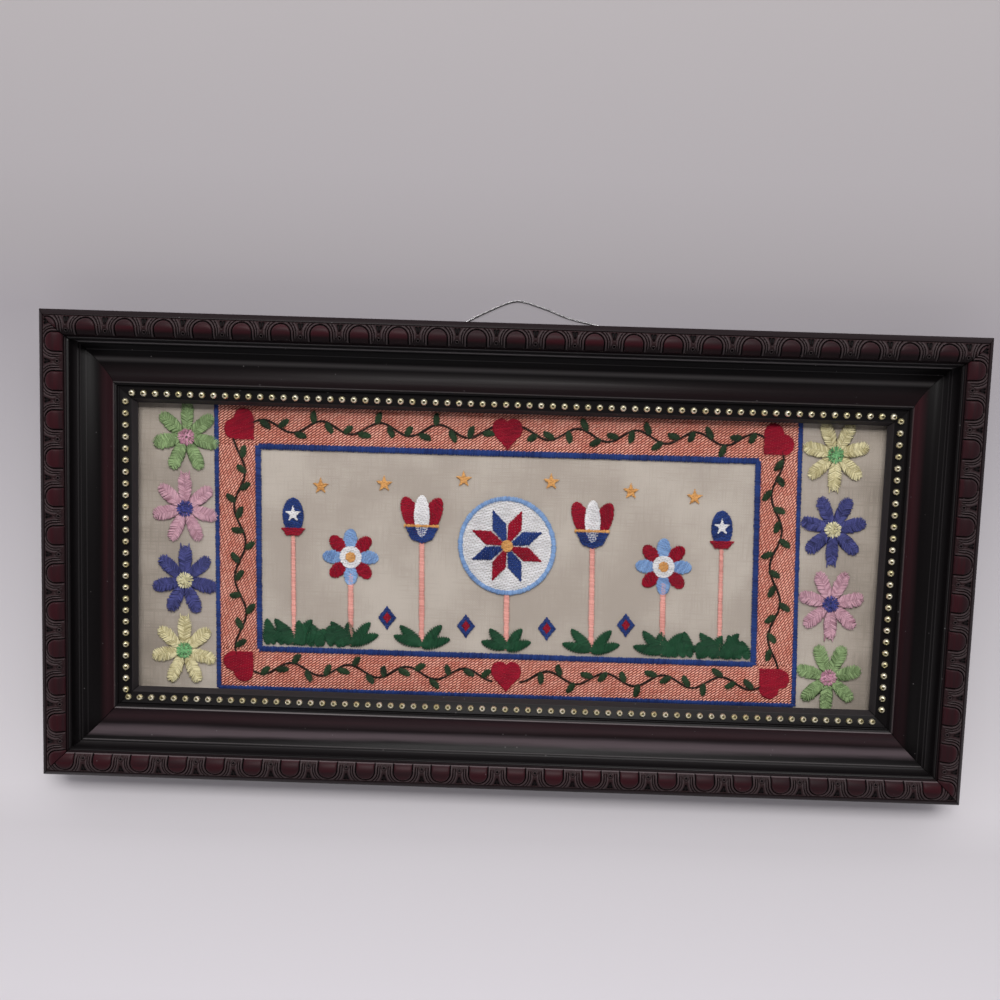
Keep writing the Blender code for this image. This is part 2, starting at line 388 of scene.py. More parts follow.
def strandGroup():
    # strands wound round a curve, none of them lower than Lowest
    sizes = {"Reach": 0.0002, "Turn Length": 0.003, "Strand Radius": 0.0002, "Step": 0.0005, "Lowest": 0.0}
    group, source, result = newShapeGroup("woundStrands", {"Strands": 3, **sizes})
    values = {"Curve": source["Geometry"], "Length": source["Step"]}
    held = output(group, "GeometryNodeResampleCurve", values, mode="LENGTH")
    kept = (
        ("along", "FLOAT", output(group, "GeometryNodeSplineParameter", None, "Length")),
        ("side", "FLOAT_VECTOR", output(group, "GeometryNodeInputNormal")),
        ("way", "FLOAT_VECTOR", output(group, "GeometryNodeInputTangent")),
    )
    for name, dataType, value in kept:
        values = {"Geometry": held, "Name": name, "Value": value}
        held = output(group, "GeometryNodeStoreNamedAttribute", values, data_type=dataType, domain="POINT")
    values = {"Geometry": held, "Amount": source["Strands"]}
    copies = outputs(addNode(group, "GeometryNodeDuplicateElements", values, domain="SPLINE"))
    turns = pointValue(group, "along") / source["Turn Length"]
    angle = (turns + copies["Duplicate Index"] / source["Strands"]) * (2 * math.pi)
    side = pointValue(group, "side", "FLOAT_VECTOR")
    up = vectorMath("CROSS_PRODUCT", side, pointValue(group, "way", "FLOAT_VECTOR"))
    level = vectorMath("SCALE", side, scale=angle.calc("COSINE"))
    out = vectorMath("ADD", level, vectorMath("SCALE", up, scale=angle.calc("SINE")))
    values = {"Geometry": copies["Geometry"], "Offset": vectorMath("SCALE", out, scale=source["Reach"])}
    moved = output(group, "GeometryNodeSetPosition", values)
    x, y, z = split(output(group, "GeometryNodeInputPosition"))
    above = join(group, x, y, z.calc("MAXIMUM", source["Lowest"]))
    lifted = output(group, "GeometryNodeSetPosition", {"Geometry": moved, "Position": above})
    values = {"Resolution": wire["sides"], "Radius": source["Strand Radius"]}
    ring = output(group, "GeometryNodeCurvePrimitiveCircle", values)
    values = {"Curve": lifted, "Profile Curve": ring, "Fill Caps": True}
    endShapeGroup(source, result, output(group, "GeometryNodeCurveToMesh", values))
    return group


def pathCurve(name, path):
    curve = bpy.data.curves.new(name, "CURVE")
    curve.dimensions = "3D"
    spline = curve.splines.new("POLY")
    spline.points.add(len(path) - 1)
    for point, place in zip(spline.points, path):
        point.co = (*place, 1)
    return placed(name, curve)


def steelMaterial():
    material, tree, shader = newMaterial("drawnSteel", Metallic=1.0)
    spot = objectSpot(tree)
    colour = mixColour(noise(spot, 900.0, 3.0).remap(0.35, 0.65), "#8d8c8e", "#c4c3c4")
    finishShader(shader, colour, noise(spot, 2600.0).remap(0.3, 0.7, 0.24, 0.45))
    return material


def windStrands(name, path, group, strands, reach, turn, radius, step):
    values = {"Strands": strands, "Reach": reach, "Turn Length": turn, "Strand Radius": radius}
    values.update({"Step": step, "Lowest": radius, "Material": steel})
    return grown(pathCurve(name + "Line", path), name, group, values)


def makeWire():
    path = wirePath()
    group = strandGroup()
    piece = windStrands("hangingWireStrands", path, group, *wire["strands"])
    first, last = (round(len(path) * share) for share in wire["tailSpan"])
    tail = windStrands("wireTail", path[first:last], group, *wire["tail"])
    attach(piece, "steel", "hanging_wire")
    attach(tail, "steel")


steel = steelMaterial()
makeWire()


def makeInsetGroup():
    # distance in from the frame's outer edge, and along whichever rail that is
    given = {"Half Length": halfLength, "Half Width": halfWidth}
    made = {"Inset": "Float", "Grain": "Vector", "Upper": "Float", "Lower": "Float"}
    group, source, result = newGroup("insetFromEdge", given, made)
    x, y, z = split(objectSpot(group))
    fromEnd = source["Half Length"] - abs(x)
    fromSide = source["Half Width"] - abs(y)
    onSide = fromSide < fromEnd
    grain = join(group, mixValue(onSide, y, x), mixValue(onSide, x, y), z)
    upper = onSide * (y > 0.0)
    inset = fromEnd.calc("MINIMUM", fromSide)
    setInputs(result, {"Inset": inset, "Grain": grain, "Upper": upper, "Lower": onSide - upper})
    return group


def makeLacquerGroup():
    # brush drift, fine pores and dust specks in a lacquered surface
    given = {"Grain": "Vector", "Streak Scale": 60.0, "Pore Scale": 1800.0, "Speck Share": 0.2}
    made = {"Streak": "Float", "Height": "Float", "Specks": "Float"}
    group, source, result = newGroup("lacquerWear", given, made)
    drawn = stretched(source["Grain"], (0.06, 1.0, 1.0))
    streak = noise(drawn, source["Streak Scale"], 5.0, 0.6)
    height = noise(drawn, source["Pore Scale"], 3.0) * 0.4 + streak
    cells = outputs(addNode(group, "ShaderNodeTexVoronoi", {"Vector": source["Grain"], "Scale": 330.0}))
    specks = cells["Distance"].remap(0.13, 0.05) * (cells["Color"] < source["Speck Share"])
    setInputs(result, {"Streak": streak, "Height": height, "Specks": specks})
    return group


threadLook = {
    "drift": 0.18,  # how far the tone strays along the cloth, and from fibre to fibre
    "strand": 0.16,
    "fibreScale": 5200.0,
    "values": {"Roughness": 0.6, "Specular_IOR_Level": 0.25},
    "bump": (0.5, 0.05 * mm),
}


def makeThreadGroup():
    # lights and darks from stitch to stitch, with the ply of the thread
    given = {"Deep": "Color", "Bright": "Color", "Drift Scale": 60.0}
    group, source, result = newGroup("threadTone", given, {"Colour": "Color", "Height": "Float"})
    spot = objectSpot(group)
    drift = noise(spot, source["Drift Scale"]).remap(0.3, 0.7, -threadLook["drift"], threadLook["drift"])
    fibre = noise(spot, threadLook["fibreScale"])
    strand = fibre.remap(0.3, 0.7, -threadLook["strand"], threadLook["strand"])
    share = (attribute(group, "tone") + drift).calc("ADD", strand, clamp=True)
    setInputs(result, {"Colour": mixColour(share, source["Deep"], source["Bright"]), "Height": fibre})
    return group


def makeWeaveGroup():
    # plain weave: two sets of threads, over and under by turns
    given = {"Threads": 2200.0, "Wobble": 0.0002}
    group, source, result = newGroup("plainWeave", given, {"Height": "Float", "Slub": "Float"})
    spot = objectSpot(group)
    off = vectorMath("SCALE", noise(spot, 220.0, 1.0, which=1), scale=source["Wobble"])
    x, y = split(vectorMath("ADD", spot, off))[:2]
    height = (x * source["Threads"]).calc("SINE") * (y * source["Threads"]).calc("SINE")
    across = noise(stretched(spot, (0.05, 1.0, 1.0)), 1400.0)
    up = noise(stretched(spot, (1.0, 0.05, 1.0)), 1400.0)
    setInputs(result, {"Height": height, "Slub": across.calc("MAXIMUM", up)})
    return group


insetFromEdge = makeInsetGroup()
lacquerWear = makeLacquerGroup()
threadTone = makeThreadGroup()
plainWeave = makeWeaveGroup()

rails = {
    "edgeRound": 0.16 * mm,
    "roundSteps": 2,
    "roundFrom": 24,  # degrees between two faces
    "jointGap": 0.005 * mm,  # glue starts this far from a mitred end
    "jointFill": 0.149 * mm,  # half the joint at each mitre
    "black": "#100e0f",
    "deepRed": "#321a1e",
    "darkRed": "#22171a",
    "rimBrown": "#1d1517",
    "bevelGrey": "#2b2829",
    # pale of rubbed wear and dust specks, also used for painted highlights and a painted sheen
    "paleWearAndHighlight": "#7a7677",
    # grey of the painted sheen on the bottom cove and of the painted light on the bottom rail's red
    "paintedSheenTone": "#665a5f",
    "bareWood": "#a58463",
    "bareWoodDark": "#8d6c4c",
    "bareHeight": 1.0 * mm,  # the back is bare up to this far above the board
    "bareRough": 0.85,
    "shine": (0.34, 0.46),
    "streakScale": 90.0,
    "wander": 1.6 * mm,  # how far the black's edge strays
    "fadeStart": 23.0 * mm,  # the cove's black runs into red between these
    "fadeEnd": 28.5 * mm,
    "redEnd": 34.1 * mm,
    "rimEnd": 12.9 * mm,
    "bevelStart": 41.3 * mm,
    # pale lines along edges, partly rubbed wear and partly painted highlight: how far in, half the width,
    # how much on the top rail, the bottom one and the sides
    "wornAndLitEdges": (
        (12.3 * mm, 0.35 * mm, 0.0, 0.5, 0.1),
        (13.2 * mm, 0.3 * mm, 0.5, 0.1, 0.1),
        (14.5 * mm, 0.4 * mm, 1.0, 0.12, 0.12),
        (15.5 * mm, 0.35 * mm, 0.0, 0.4, 0.1),
        (17.9 * mm, 0.3 * mm, 0.25, 0.0, 0.1),
        (33.9 * mm, 0.55 * mm, 0.3, 0.8, 0.3),
    ),
    "sheen": (22.4 * mm, 1.9 * mm, 0.17),  # painted sheen: a pale streak along the top rail's cove
    "upperPaintedShade": 0.85,  # painted shade: the red is darker on the top rail
    "lowerPaintedLight": 0.16,  # painted light: and paler on the bottom one
    # painted sheen lies along the bottom cove
    "sheenBandFrom": (17.0 * mm, 20.4 * mm),
    "sheenBandTo": (25.0 * mm, 21.2 * mm),
    "sheenBandShare": 0.62,
    "speckShare": 0.5,
    "bump": (0.25, 0.05 * mm),
    "glue": ("#040303", "#0b0809"),
}


def railMaterial():
    r = rails
    material, tree, shader = newMaterial("lacqueredRail", Specular_IOR_Level=0.09)
    place = useGroup(tree, insetFromEdge)
    wear = useGroup(tree, lacquerWear, {"Grain": place["Grain"], "Streak Scale": r["streakScale"]})
    inset, upper, lower, streak = place["Inset"], place["Upper"], place["Lower"], wear["Streak"]
    drifted = inset + streak.remap(0.25, 0.75, -r["wander"], r["wander"], "LINEAR")
    redShare = drifted.remap(r["fadeStart"], r["fadeEnd"]) * (inset < r["redEnd"])
    tinted = mixColour(streak.remap(0.3, 0.7), r["deepRed"], r["darkRed"])
    # painted shade darkens the top rail's red, and painted light pales the bottom rail's
    tinted = mixColour(upper * r["upperPaintedShade"], tinted, r["black"])
    tinted = mixColour(lower * r["lowerPaintedLight"], tinted, r["paintedSheenTone"])
    colour = mixColour(redShare, r["black"], tinted)
    # pale edge lines, partly rubbed wear and partly painted highlight, more on some rails than on others
    for middle, half, onTop, onBottom, onSides in r["wornAndLitEdges"]:
        line = abs(inset - middle).remap(half, 0.0) * streak.remap(0.3, 0.7, 0.6, 1.0)
        share = upper.calc("MULTIPLY_ADD", onTop - onSides, onSides)
        share = lower.calc("MULTIPLY_ADD", onBottom - onSides, share)
        colour = mixColour(line * share, colour, r["paleWearAndHighlight"])
    # painted sheen along the top rail's cove
    middle, half, share = r["sheen"]
    colour = mixColour(abs(inset - middle).remap(half, 0.0) * upper * share, colour, r["paleWearAndHighlight"])
    colour = mixColour(inset > r["bevelStart"], colour, r["bevelGrey"])
    # painted sheen along the bottom rail's cove
    sheenBand = drifted.remap(*r["sheenBandFrom"]) * drifted.remap(*r["sheenBandTo"])
    colour = mixColour(sheenBand * lower * r["sheenBandShare"], colour, r["paintedSheenTone"])
    colour = mixColour(inset < r["rimEnd"], colour, r["rimBrown"])
    colour = mixColour(wear["Specks"] * r["speckShare"], colour, r["paleWearAndHighlight"])
    height = split(objectSpot(tree))[2]
    facing = split(output(tree, "ShaderNodeNewGeometry", None, "Normal"))[2]
    under = (height < boardTop + r["bareHeight"]) * (facing < -0.5)
    bare = mixColour(streak.remap(0.3, 0.7), r["bareWoodDark"], r["bareWood"])
    rough = mixValue(under, streak.remap(0.3, 0.7, *r["shine"]), r["bareRough"])
    finishShader(shader, mixColour(under, colour, bare), rough, wear["Height"], *r["bump"])
    return material


def addJointFill(face, points, faces):
    # a thin slab out from a mitred end, to close half of the joint
    first, count = len(points), len(face.verts)
    for reach in (rails["jointGap"], rails["jointFill"]):
        points += [vert.co + face.normal * reach for vert in face.verts]
    faces.append([first + k for k in reversed(range(count))])
    faces.append([first + count + k for k in range(count)])
    faces += [side[::-1] for side in ringFaces(first, count, 2)]


def makeRails(material):
    points, faces = [], []
    for side in ("top", "bottom", "left", "right"):
        mesh = nodes["rail_" + side].data.copy()
        mesh.materials.clear()
        mesh.materials.append(material)
        obj = placed("moulding_" + side, mesh)
        shape = editable(mesh, 1e-6)
        flat = [e for e in shape.edges if len(e.link_faces) == 2 and e.calc_face_angle(0) < 0.002]
        bmesh.ops.dissolve_edges(shape, edges=flat, use_verts=False)
        for face in shape.faces:
            x, y, z = face.normal
            if abs(z) < 0.02 and abs(abs(x) - abs(y)) < 0.02:
                addJointFill(face, points, faces)
        close(shape, mesh, recalculate=False)
        mesh.shade_smooth()
        edge = obj.modifiers.new("roundedEdges", "BEVEL")
        edge.width = rails["edgeRound"]
        edge.segments = rails["roundSteps"]
        edge.limit_method = "ANGLE"
        edge.angle_limit = math.radians(rails["roundFrom"])
        edge.harden_normals = True
        attach(obj, "dark_wood", "rail_" + side)
    glue, tree, shader = newMaterial("jointGlue", Roughness=0.8, Specular_IOR_Level=0.1)
    finishShader(shader, mixColour(noise(objectSpot(tree), 700.0).remap(0.3, 0.7), *rails["glue"]))
    attach(newObject("mitreJoints", points, faces, glue), "dark_wood")
    print("rails finished")


makeRails(railMaterial())

ornament = {
    "pitch": 18.67 * mm,
    "width": stripHigh.y - stripLow.y,
    "columns": 54,
    "rows": 27,
    "outerTop": 23.3 * mm,
    "innerTop": 22.7 * mm,
    "plain": -0.12 * mm,  # height of the parts between, below the strip's round
    "eggMiddle": 5.5 * mm,  # in from the strip's outer edge
    "eggRadius": 4.45 * mm,
    "eggDome": (-0.3, 0.45),  # height of its edge and rise to its middle, in millimetres
    "eggCrest": (-0.35 * mm, 0.4 * mm, 0.6),  # pale ring, rubbed wear and painted highlight: how far out, half the width, how much
    "eggCrestFade": (6.5 * mm, 3.5 * mm),  # it shows from here outwards
    "deep": 1.0 * mm,
    # grooves round each egg: how far out from it, half the width, how deep
    "grooves": ((0.28 * mm, 0.3 * mm, 1.0), (1.75 * mm, 0.22 * mm, 0.8), (2.85 * mm, 0.22 * mm, 0.75)),
    "grooveFade": (8.6 * mm, 7.0 * mm),  # all but the first run out inwards here
    "grooveEnd": (0.1 * mm, 0.7 * mm),  # and this near the dart's middle
    "grooveCrest": (0.42 * mm, 0.45 * mm),  # pale ridge outside each one, rubbed wear and painted highlight: further out by, half the width
    "dart": (0.5 * mm, 5.2 * mm, 2.0 * mm),  # from and to how far in, and half its width where it starts
    "dartSlope": 2.4,
    "dartDepth": 0.8,  # as a share of the grooves'
    "dartSpine": (0.35 * mm, 0.1 * mm, 0.7),  # starts and is full this far from the middle, and how high
    "eyelet": (7.0 * mm, 0.95 * mm, 0.45 * mm),  # how far in, its radius and its hole's
    "eyeletRim": (-0.25 * mm, 0.3 * mm),  # height of its edge and rise to the rim's middle
    # hollow round it: how far out, half the width, how dark, how deep
    "eyeletRing": (0.25 * mm, 0.3 * mm, 0.6, 0.4 * mm),
    "outerFade": 0.45 * mm,
    "innerFade": 0.35 * mm,
    "archStart": (0.3 * mm, 0.75),  # the browner part is full this far out of the egg, and how much
    "mitreGap": 0.012 * mm,
    "round": 7.0 * mm,
    "sharpFrom": 65,  # degrees between two faces
    # where an egg's middle stands along each rail
    "starts": {"top": -0.7 * mm, "bottom": 7.7 * mm, "left": -6.0 * mm, "right": 5.6 * mm},
    "fade": (8.2 * mm, 10.6 * mm, 0.0, 0.8),  # painted shade: along the top rail, the inner side is darkened to black
    "raised": "#321419",
    "hollow": "#0c0a0b",
    "dull": "#241619",
    "archBrown": "#261c1d",
    "paleWearAndHighlight": "#6f6668",
    "crestShare": 0.17,
    "innerEdgeHighlight": (12.2 * mm, 0.35 * mm, 0.6),  # painted highlight along the bottom row's inner edge: how far in, half width, share
    "streakScale": 160.0,
    "speckShare": 0.4,
    "shine": (0.34, 0.48),
    "bump": (0.3, 0.06 * mm),
}


def smoothStep(value, low, high):
    t = np.clip((value - low) / (high - low), 0, 1)
    return t * t * (3 - 2 * t)


def ridge(distance, middle, half):
    # 1 at its middle, rounded down to 0 from half away
    return np.sqrt(np.clip(1 - ((distance - middle) / half) ** 2, 0, 1))


def ornamentRelief(s, u):
    # height over the strip's round, and how much each place is a dark groove, a pale crest of rubbed wear
    # and painted highlight, and an arch
    o = ornament
    radius, deep, plain = o["eggRadius"], o["deep"], o["plain"]
    side = np.abs(s)
    gapSide = o["pitch"] / 2 - side
    fromEgg = np.hypot(side, np.minimum(u - o["eggMiddle"], 0)) - radius
    dome = np.sqrt(np.clip(1 - (np.clip(fromEgg + radius, 0, None) / radius) ** 2, 0, 1))
    low, rise = o["eggDome"]
    height = np.where(fromEgg < 0, (low + rise * dome) * mm, plain)
    dark = np.zeros_like(fromEgg)
    away, half, share = o["eggCrest"]
    crest = ridge(fromEgg, away, half) * share * smoothStep(u, *o["eggCrestFade"])
    fade = smoothStep(gapSide, *o["grooveEnd"]) * smoothStep(u, *o["grooveFade"])
    beyond, half = o["grooveCrest"]
    for index, (away, wide, depth) in enumerate(o["grooves"]):
        held = fade if index else 1.0
        cut = ridge(fromEgg, away, wide) * held
        height = height - deep * depth * cut
        dark = np.maximum(dark, cut)
        crest = np.maximum(crest, ridge(fromEgg, away + wide + beyond, half) * held)
    # the dart is a dark wedge, widest at the outer side, with a spine down it
    start, end, wide = o["dart"]
    reach = np.clip((end - u) / (end - start), 0, 1) * wide * (u > start)
    wedge = np.clip(o["dartSlope"] * (1 - gapSide / np.maximum(reach, 1e-6)), 0, 1)
    far, near, share = o["dartSpine"]
    wedge = wedge * (1 - share * smoothStep(gapSide, far, near))
    height = height - deep * o["dartDepth"] * wedge
    dark = np.maximum(dark, wedge)
    # under its point is an eyelet
    middle, rim, hole = o["eyelet"]
    fromEyelet = np.hypot(gapSide, u - middle)
    raised = ridge(fromEyelet, (rim + hole) / 2, (rim - hole) / 2)
    away, half, share, depth = o["eyeletRing"]
    around = ridge(fromEyelet, rim + away, half) * share
    low, rise = o["eyeletRim"]
    height = np.where(fromEyelet < rim, low + rise * raised, height - depth * around)
    height = np.where(fromEyelet < hole, -deep, height)
    dark = np.where(fromEyelet < hole, 1.0, np.where(fromEyelet < rim, 0.0, np.maximum(dark, around)))
    crest = np.maximum(crest * (fromEyelet > rim), raised)
    # the relief runs out into plain edges
    edge = np.minimum(smoothStep(u, 0.0, o["outerFade"]), smoothStep(o["width"] - u, 0.0, o["innerFade"]))
    full, share = o["archStart"]
    arch = smoothStep(fromEgg, 0.0, full) * share
    return plain + (height - plain) * edge, dark * edge, crest * edge * (dark < 0.3), arch


def makeOrnamentTile():
    o = ornament
    width, lean = o["width"], o["innerTop"] - o["outerTop"]
    chord = math.hypot(width, lean)
    rise = math.sqrt(o["round"] ** 2 - (chord / 2) ** 2)
    middleU = width / 2 + lean / chord * rise
    middleZ = (o["outerTop"] + o["innerTop"]) / 2 - rise * width / chord
    u = np.linspace(0, width, o["rows"])
    s = np.linspace(-o["pitch"] / 2, o["pitch"] / 2, o["columns"] + 1)
    crown = middleZ + np.sqrt(np.clip(o["round"] ** 2 - (u - middleU) ** 2, 0, None))
    grid, dark, crest, arch = ornamentRelief(s[:, None], u[None, :])
    points = []
    kept = {"hollow": [], "crest": [], "arch": []}
    for i, along in enumerate(s):
        points.append((along, 0, stripLow.z))
        points += [(along, across, crown[j] + grid[i, j]) for j, across in enumerate(u)]
        points.append((along, width, stripLow.z))
        for label, values, end in (("hollow", dark, 1.0), ("crest", crest, 0.0), ("arch", arch, 1.0)):
            kept[label] += [end, *values[i], end]
    tile = newObject("ornamentTile", points, ringFaces(0, o["rows"] + 2, o["columns"] + 1))
    keepValues(tile, kept)
    tile.hide_render = True
    return tile


def repeatGroup():
    # copies of one tile along X
    given = {"Tile": "Object", "Count": 10, "Pitch": 0.02, "Start": 0.0}
    group, source, result = newShapeGroup("repeatedTile", given)
    start = join(group, source["Start"])
    values = {"Count": source["Count"], "Start Location": start, "Offset": join(group, source["Pitch"])}
    line = output(group, "GeometryNodeMeshLine", values, mode="OFFSET")
    tile = output(group, "GeometryNodeObjectInfo", {"Object": source["Tile"]}, "Geometry")
    values = {"Points": line, "Instance": tile}
    endShapeGroup(source, result, output(group, "GeometryNodeInstanceOnPoints", values))
    return group


def ornamentMaterial():
    o = ornament
    material, tree, shader = newMaterial("eggAndDart", Specular_IOR_Level=0.07)
    place = useGroup(tree, insetFromEdge)
    wear = useGroup(tree, lacquerWear, {"Grain": place["Grain"], "Streak Scale": o["streakScale"]})
    face = mixColour(wear["Streak"].remap(0.35, 0.65), o["raised"], o["dull"])
    face = mixColour(attribute(tree, "arch"), face, o["archBrown"])
    # painted shade on the inner side of the top rail's row
    face = mixColour(place["Inset"].remap(*o["fade"]) * place["Upper"], face, o["hollow"])
    # pale crests, rubbed wear and painted highlight
    face = mixColour(attribute(tree, "crest").remap(0.2, 0.9) * o["crestShare"], face, o["paleWearAndHighlight"])
    # painted highlight along the bottom row's inner edge
    middle, half, share = o["innerEdgeHighlight"]
    line = abs(place["Inset"] - middle).remap(half, 0.0) * (place["Lower"] * share)
    face = mixColour(line, face, o["paleWearAndHighlight"])
    colour = mixColour(attribute(tree, "hollow").remap(0.25, 0.75), face, o["hollow"])
    colour = mixColour(wear["Specks"] * o["speckShare"], colour, o["paleWearAndHighlight"])
    finishShader(shader, colour, wear["Streak"].remap(0.3, 0.7, *o["shine"]), wear["Height"], *o["bump"])
    return material


# turn that lays a row's X along each rail with Y inwards, and how far out that rail reaches
railTurns = {
    "top": (180, halfWidth),
    "bottom": (0, halfWidth),
    "left": (-90, halfLength),
    "right": (90, halfLength),
}


def rowAlongRail(name, side, inset, tile, count, pitch, start, material):
    turn, reach = railTurns[side]
    values = {"Tile": tile, "Count": count, "Pitch": pitch, "Start": start, "Material": material}
    piece = grown(newObject("rowLine", [(0, 0, 0)], []), name, repeatedTile, values)
    shift = Matrix.Translation((0, inset - reach, 0))
    piece.data.transform(Matrix.Rotation(math.radians(turn), 4, "Z") @ shift)
    return piece


def cutAndCap(shape, place, normal):
    # cuts off what the normal points to, and closes the cut
    every = shape.verts[:] + shape.edges[:] + shape.faces[:]
    plane = {"plane_co": place, "plane_no": normal, "clear_outer": True}
    cut = bmesh.ops.bisect_plane(shape, geom=every, dist=1e-7, **plane)
    edges = [e for e in cut["geom_cut"] if isinstance(e, bmesh.types.BMEdge) and e.is_boundary]
    slot = shape.faces[:][0].material_index
    for face in bmesh.ops.edgeloop_fill(shape, edges=edges)["faces"]:
        face.material_index = slot


def makeOrnament(material):
    o = ornament
    tile = makeOrnamentTile()
    inset = stripLow.y + halfWidth
    for side, (turn, reach) in railTurns.items():
        low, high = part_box("ornament_" + side)
        length = max(high.x - low.x, high.y - low.y)
        each = math.ceil(length / o["pitch"] / 2) + 1
        start = o["starts"][side] - each * o["pitch"]
        name = "eggAndDart_" + side
        piece = rowAlongRail(name, side, inset, tile, 2 * each + 1, o["pitch"], start, material)
        shape = editable(piece.data, 2e-6)
        spin = Matrix.Rotation(math.radians(turn), 3, "Z")
        out = spin @ Vector((0, -1, 0))
        along = spin @ Vector((1, 0, 0))
        for way in (-1, 1):
            place = out * (reach - inset) + along * way * (length / 2 - o["mitreGap"])
            cutAndCap(shape, place, along * way + out * -1)
        close(shape, piece.data)
        piece.data.shade_smooth()
        piece.data.set_sharp_from_angle(angle=math.radians(o["sharpFrom"]))
        attach(piece, "mahogany_ornament", "ornament_" + side)
    bpy.data.objects.remove(tile)
    print("ornament finished")


repeatedTile = repeatGroup()
makeOrnament(ornamentMaterial())

beads = {
    "radius": 1.68 * mm,
    "inset": 38.8 * mm,
    "height": 13.6 * mm,
    "segments": 8,
    "ringAngles": (19, 31, 48, 68, 92, 118),  # degrees from the top
    "darkTopRings": 1,  # a painted dark reflection lies inside this many
    "gilt": "#d8ce9f",
    "paleGilt": "#f3edd6",
    # painted dark reflection on each bead's top
    "reflectionDark": "#4f472d",
    "shine": (0.22, 0.36),
    "darkTopRough": 0.25,
    # how far they lean to the cloth in degrees, which turns each painted dark top towards the camera, the
    # first and last one along each rail, and how many
    "rows": {
        "top": (5, -186.0 * mm, 186.4 * mm, 66),
        "bottom": (20, -188.4 * mm, 185.3 * mm, 66),
        "left": (20, -71.95 * mm, 72.25 * mm, 26),
        "right": (20, -69.9 * mm, 74.0 * mm, 26),
    },
}


def beadTile(lean):
    b = beads
    radius, count, rings = b["radius"], b["segments"], len(b["ringAngles"])
    points = [(0, 0, radius)]
    for angle in b["ringAngles"]:
        polar = math.radians(angle)
        reach = radius * math.sin(polar)
        for k in range(count):
            turn = 2 * math.pi * (k + 0.5) / count
            points.append((reach * math.cos(turn), reach * math.sin(turn), radius * math.cos(polar)))
    faces = [(0, 1 + k, 1 + (k + 1) % count) for k in range(count)]
    faces += ringFaces(1, count, rings)
    faces.append(tuple(1 + (rings - 1) * count + k for k in reversed(range(count))))
    tile = newObject("beadTile", points, faces)
    darkTop = 1 + b["darkTopRings"] * count
    keepValues(tile, {"darkTop": [1.0] * darkTop + [0.0] * (len(points) - darkTop)})
    turn = Matrix.Rotation(math.radians(-lean), 4, "X")
    tile.data.transform(Matrix.Translation((0, 0, b["height"])) @ turn)
    tile.hide_render = True
    return tile


def giltMaterial():
    material, tree, shader = newMaterial("paleGilt", Metallic=0.85)
    spot = objectSpot(tree)
    bright = mixColour(noise(spot, 260.0).remap(0.35, 0.65), beads["gilt"], beads["paleGilt"])
    # the top rings carry a painted dark reflection
    bare = attribute(tree, "darkTop").remap(0.25, 0.75)
    rough = noise(spot, 900.0).remap(0.3, 0.7, *beads["shine"]) + bare * beads["darkTopRough"]
    finishShader(shader, mixColour(bare, bright, beads["reflectionDark"]), rough)
    return material


def makeBeads(material):
    for side, (lean, first, last, count) in beads["rows"].items():
        tile = beadTile(lean)
        pitch = (last - first) / (count - 1)
        piece = rowAlongRail("beadRow_" + side, side, beads["inset"], tile, count, pitch, first, material)
        attach(piece, "gilt_bead")
        bpy.data.objects.remove(tile)
    print("beads finished")


makeBeads(giltMaterial())


def dressNode(name, material):
    for place in nodes[name].material_slots:
        place.material = material


glass = {"Base_Color": "#f4f7f5", "Roughness": 0.02, "IOR": 1.45, "Transmission_Weight": 1.0}


def glassMaterial():
    # it mirrors as glass does, and lets light through to the cloth unchanged
    material, tree, shader = newMaterial("pictureGlass", **glass)
    clear = output(tree, "ShaderNodeBsdfTransparent")
    seen = output(tree, "ShaderNodeLightPath", None, "Is Camera Ray")
    both = output(tree, "ShaderNodeMixShader", {0: seen, 1: clear, 2: Signal(shader.outputs[0])})
    setInputs(tree.nodes["Material Output"], {"Surface": both})
    return material


dressNode("glass", glassMaterial())
print("glass finished")

cloth = {
    "cell": 2.4 * mm,
    "light": "#b9afa5",
    "shade": "#a59a90",
    "endsShadedPale": "#a69b90",
    "endsShadedDeep": "#857b71",
    "endsShadeStart": 140 * mm,  # painted shade: the ends past the border are darker
    "endsShadeFull": 185 * mm,
    "looseFrom": 145 * mm,  # and pucker more, growing to full over the next stretch
    "looseOver": 12 * mm,
    "drop": 0.2 * mm,
    "pucker": 0.07 * mm,
    "endsPucker": 0.25 * mm,
    "endsDrop": 0.14 * mm,
    "thickness": 0.6 * mm,
    "threads": 7000.0,
    "sheen": 0.15,
    "bump": (0.35, 0.08 * mm),
}


def clothHeight(x, y):
    # the cloth's face, with the slight ripples of hooped work
    c = cloth
    wave = np.sin(x / (15 * mm) + 1.4 * np.sin(y / (23 * mm)))
    cross = np.sin(y / (9 * mm) + 1.1 * np.sin(x / (31 * mm)) + 2.0)
    atEnds = np.clip((np.abs(x) - c["looseFrom"]) / c["looseOver"], 0, 1)
    size = c["pucker"] + (c["endsPucker"] - c["pucker"]) * atEnds
    return clothHigh.z - c["drop"] - c["endsDrop"] * atEnds + size * (0.8 * wave + cross)


def clothMaterial():
    c = cloth
    material, tree, shader = newMaterial("creamCloth", Roughness=0.92, Sheen_Weight=c["sheen"])
    weave = useGroup(tree, plainWeave, {"Threads": c["threads"]})
    spot = objectSpot(tree)
    share = (noise(spot, 22.0, 3.0) + weave["Slub"] * 0.35).remap(0.5, 0.85)
    # painted shade towards both ends of the cloth
    atEnds = abs(split(spot)[0]).remap(c["endsShadeStart"], c["endsShadeFull"])
    ends = mixColour(share, c["endsShadedPale"], c["endsShadedDeep"])
    colour = mixColour(atEnds, mixColour(share, c["light"], c["shade"]), ends)
    finishShader(shader, colour, None, weave["Height"] + weave["Slub"] * 2.0, *c["bump"])
    return material


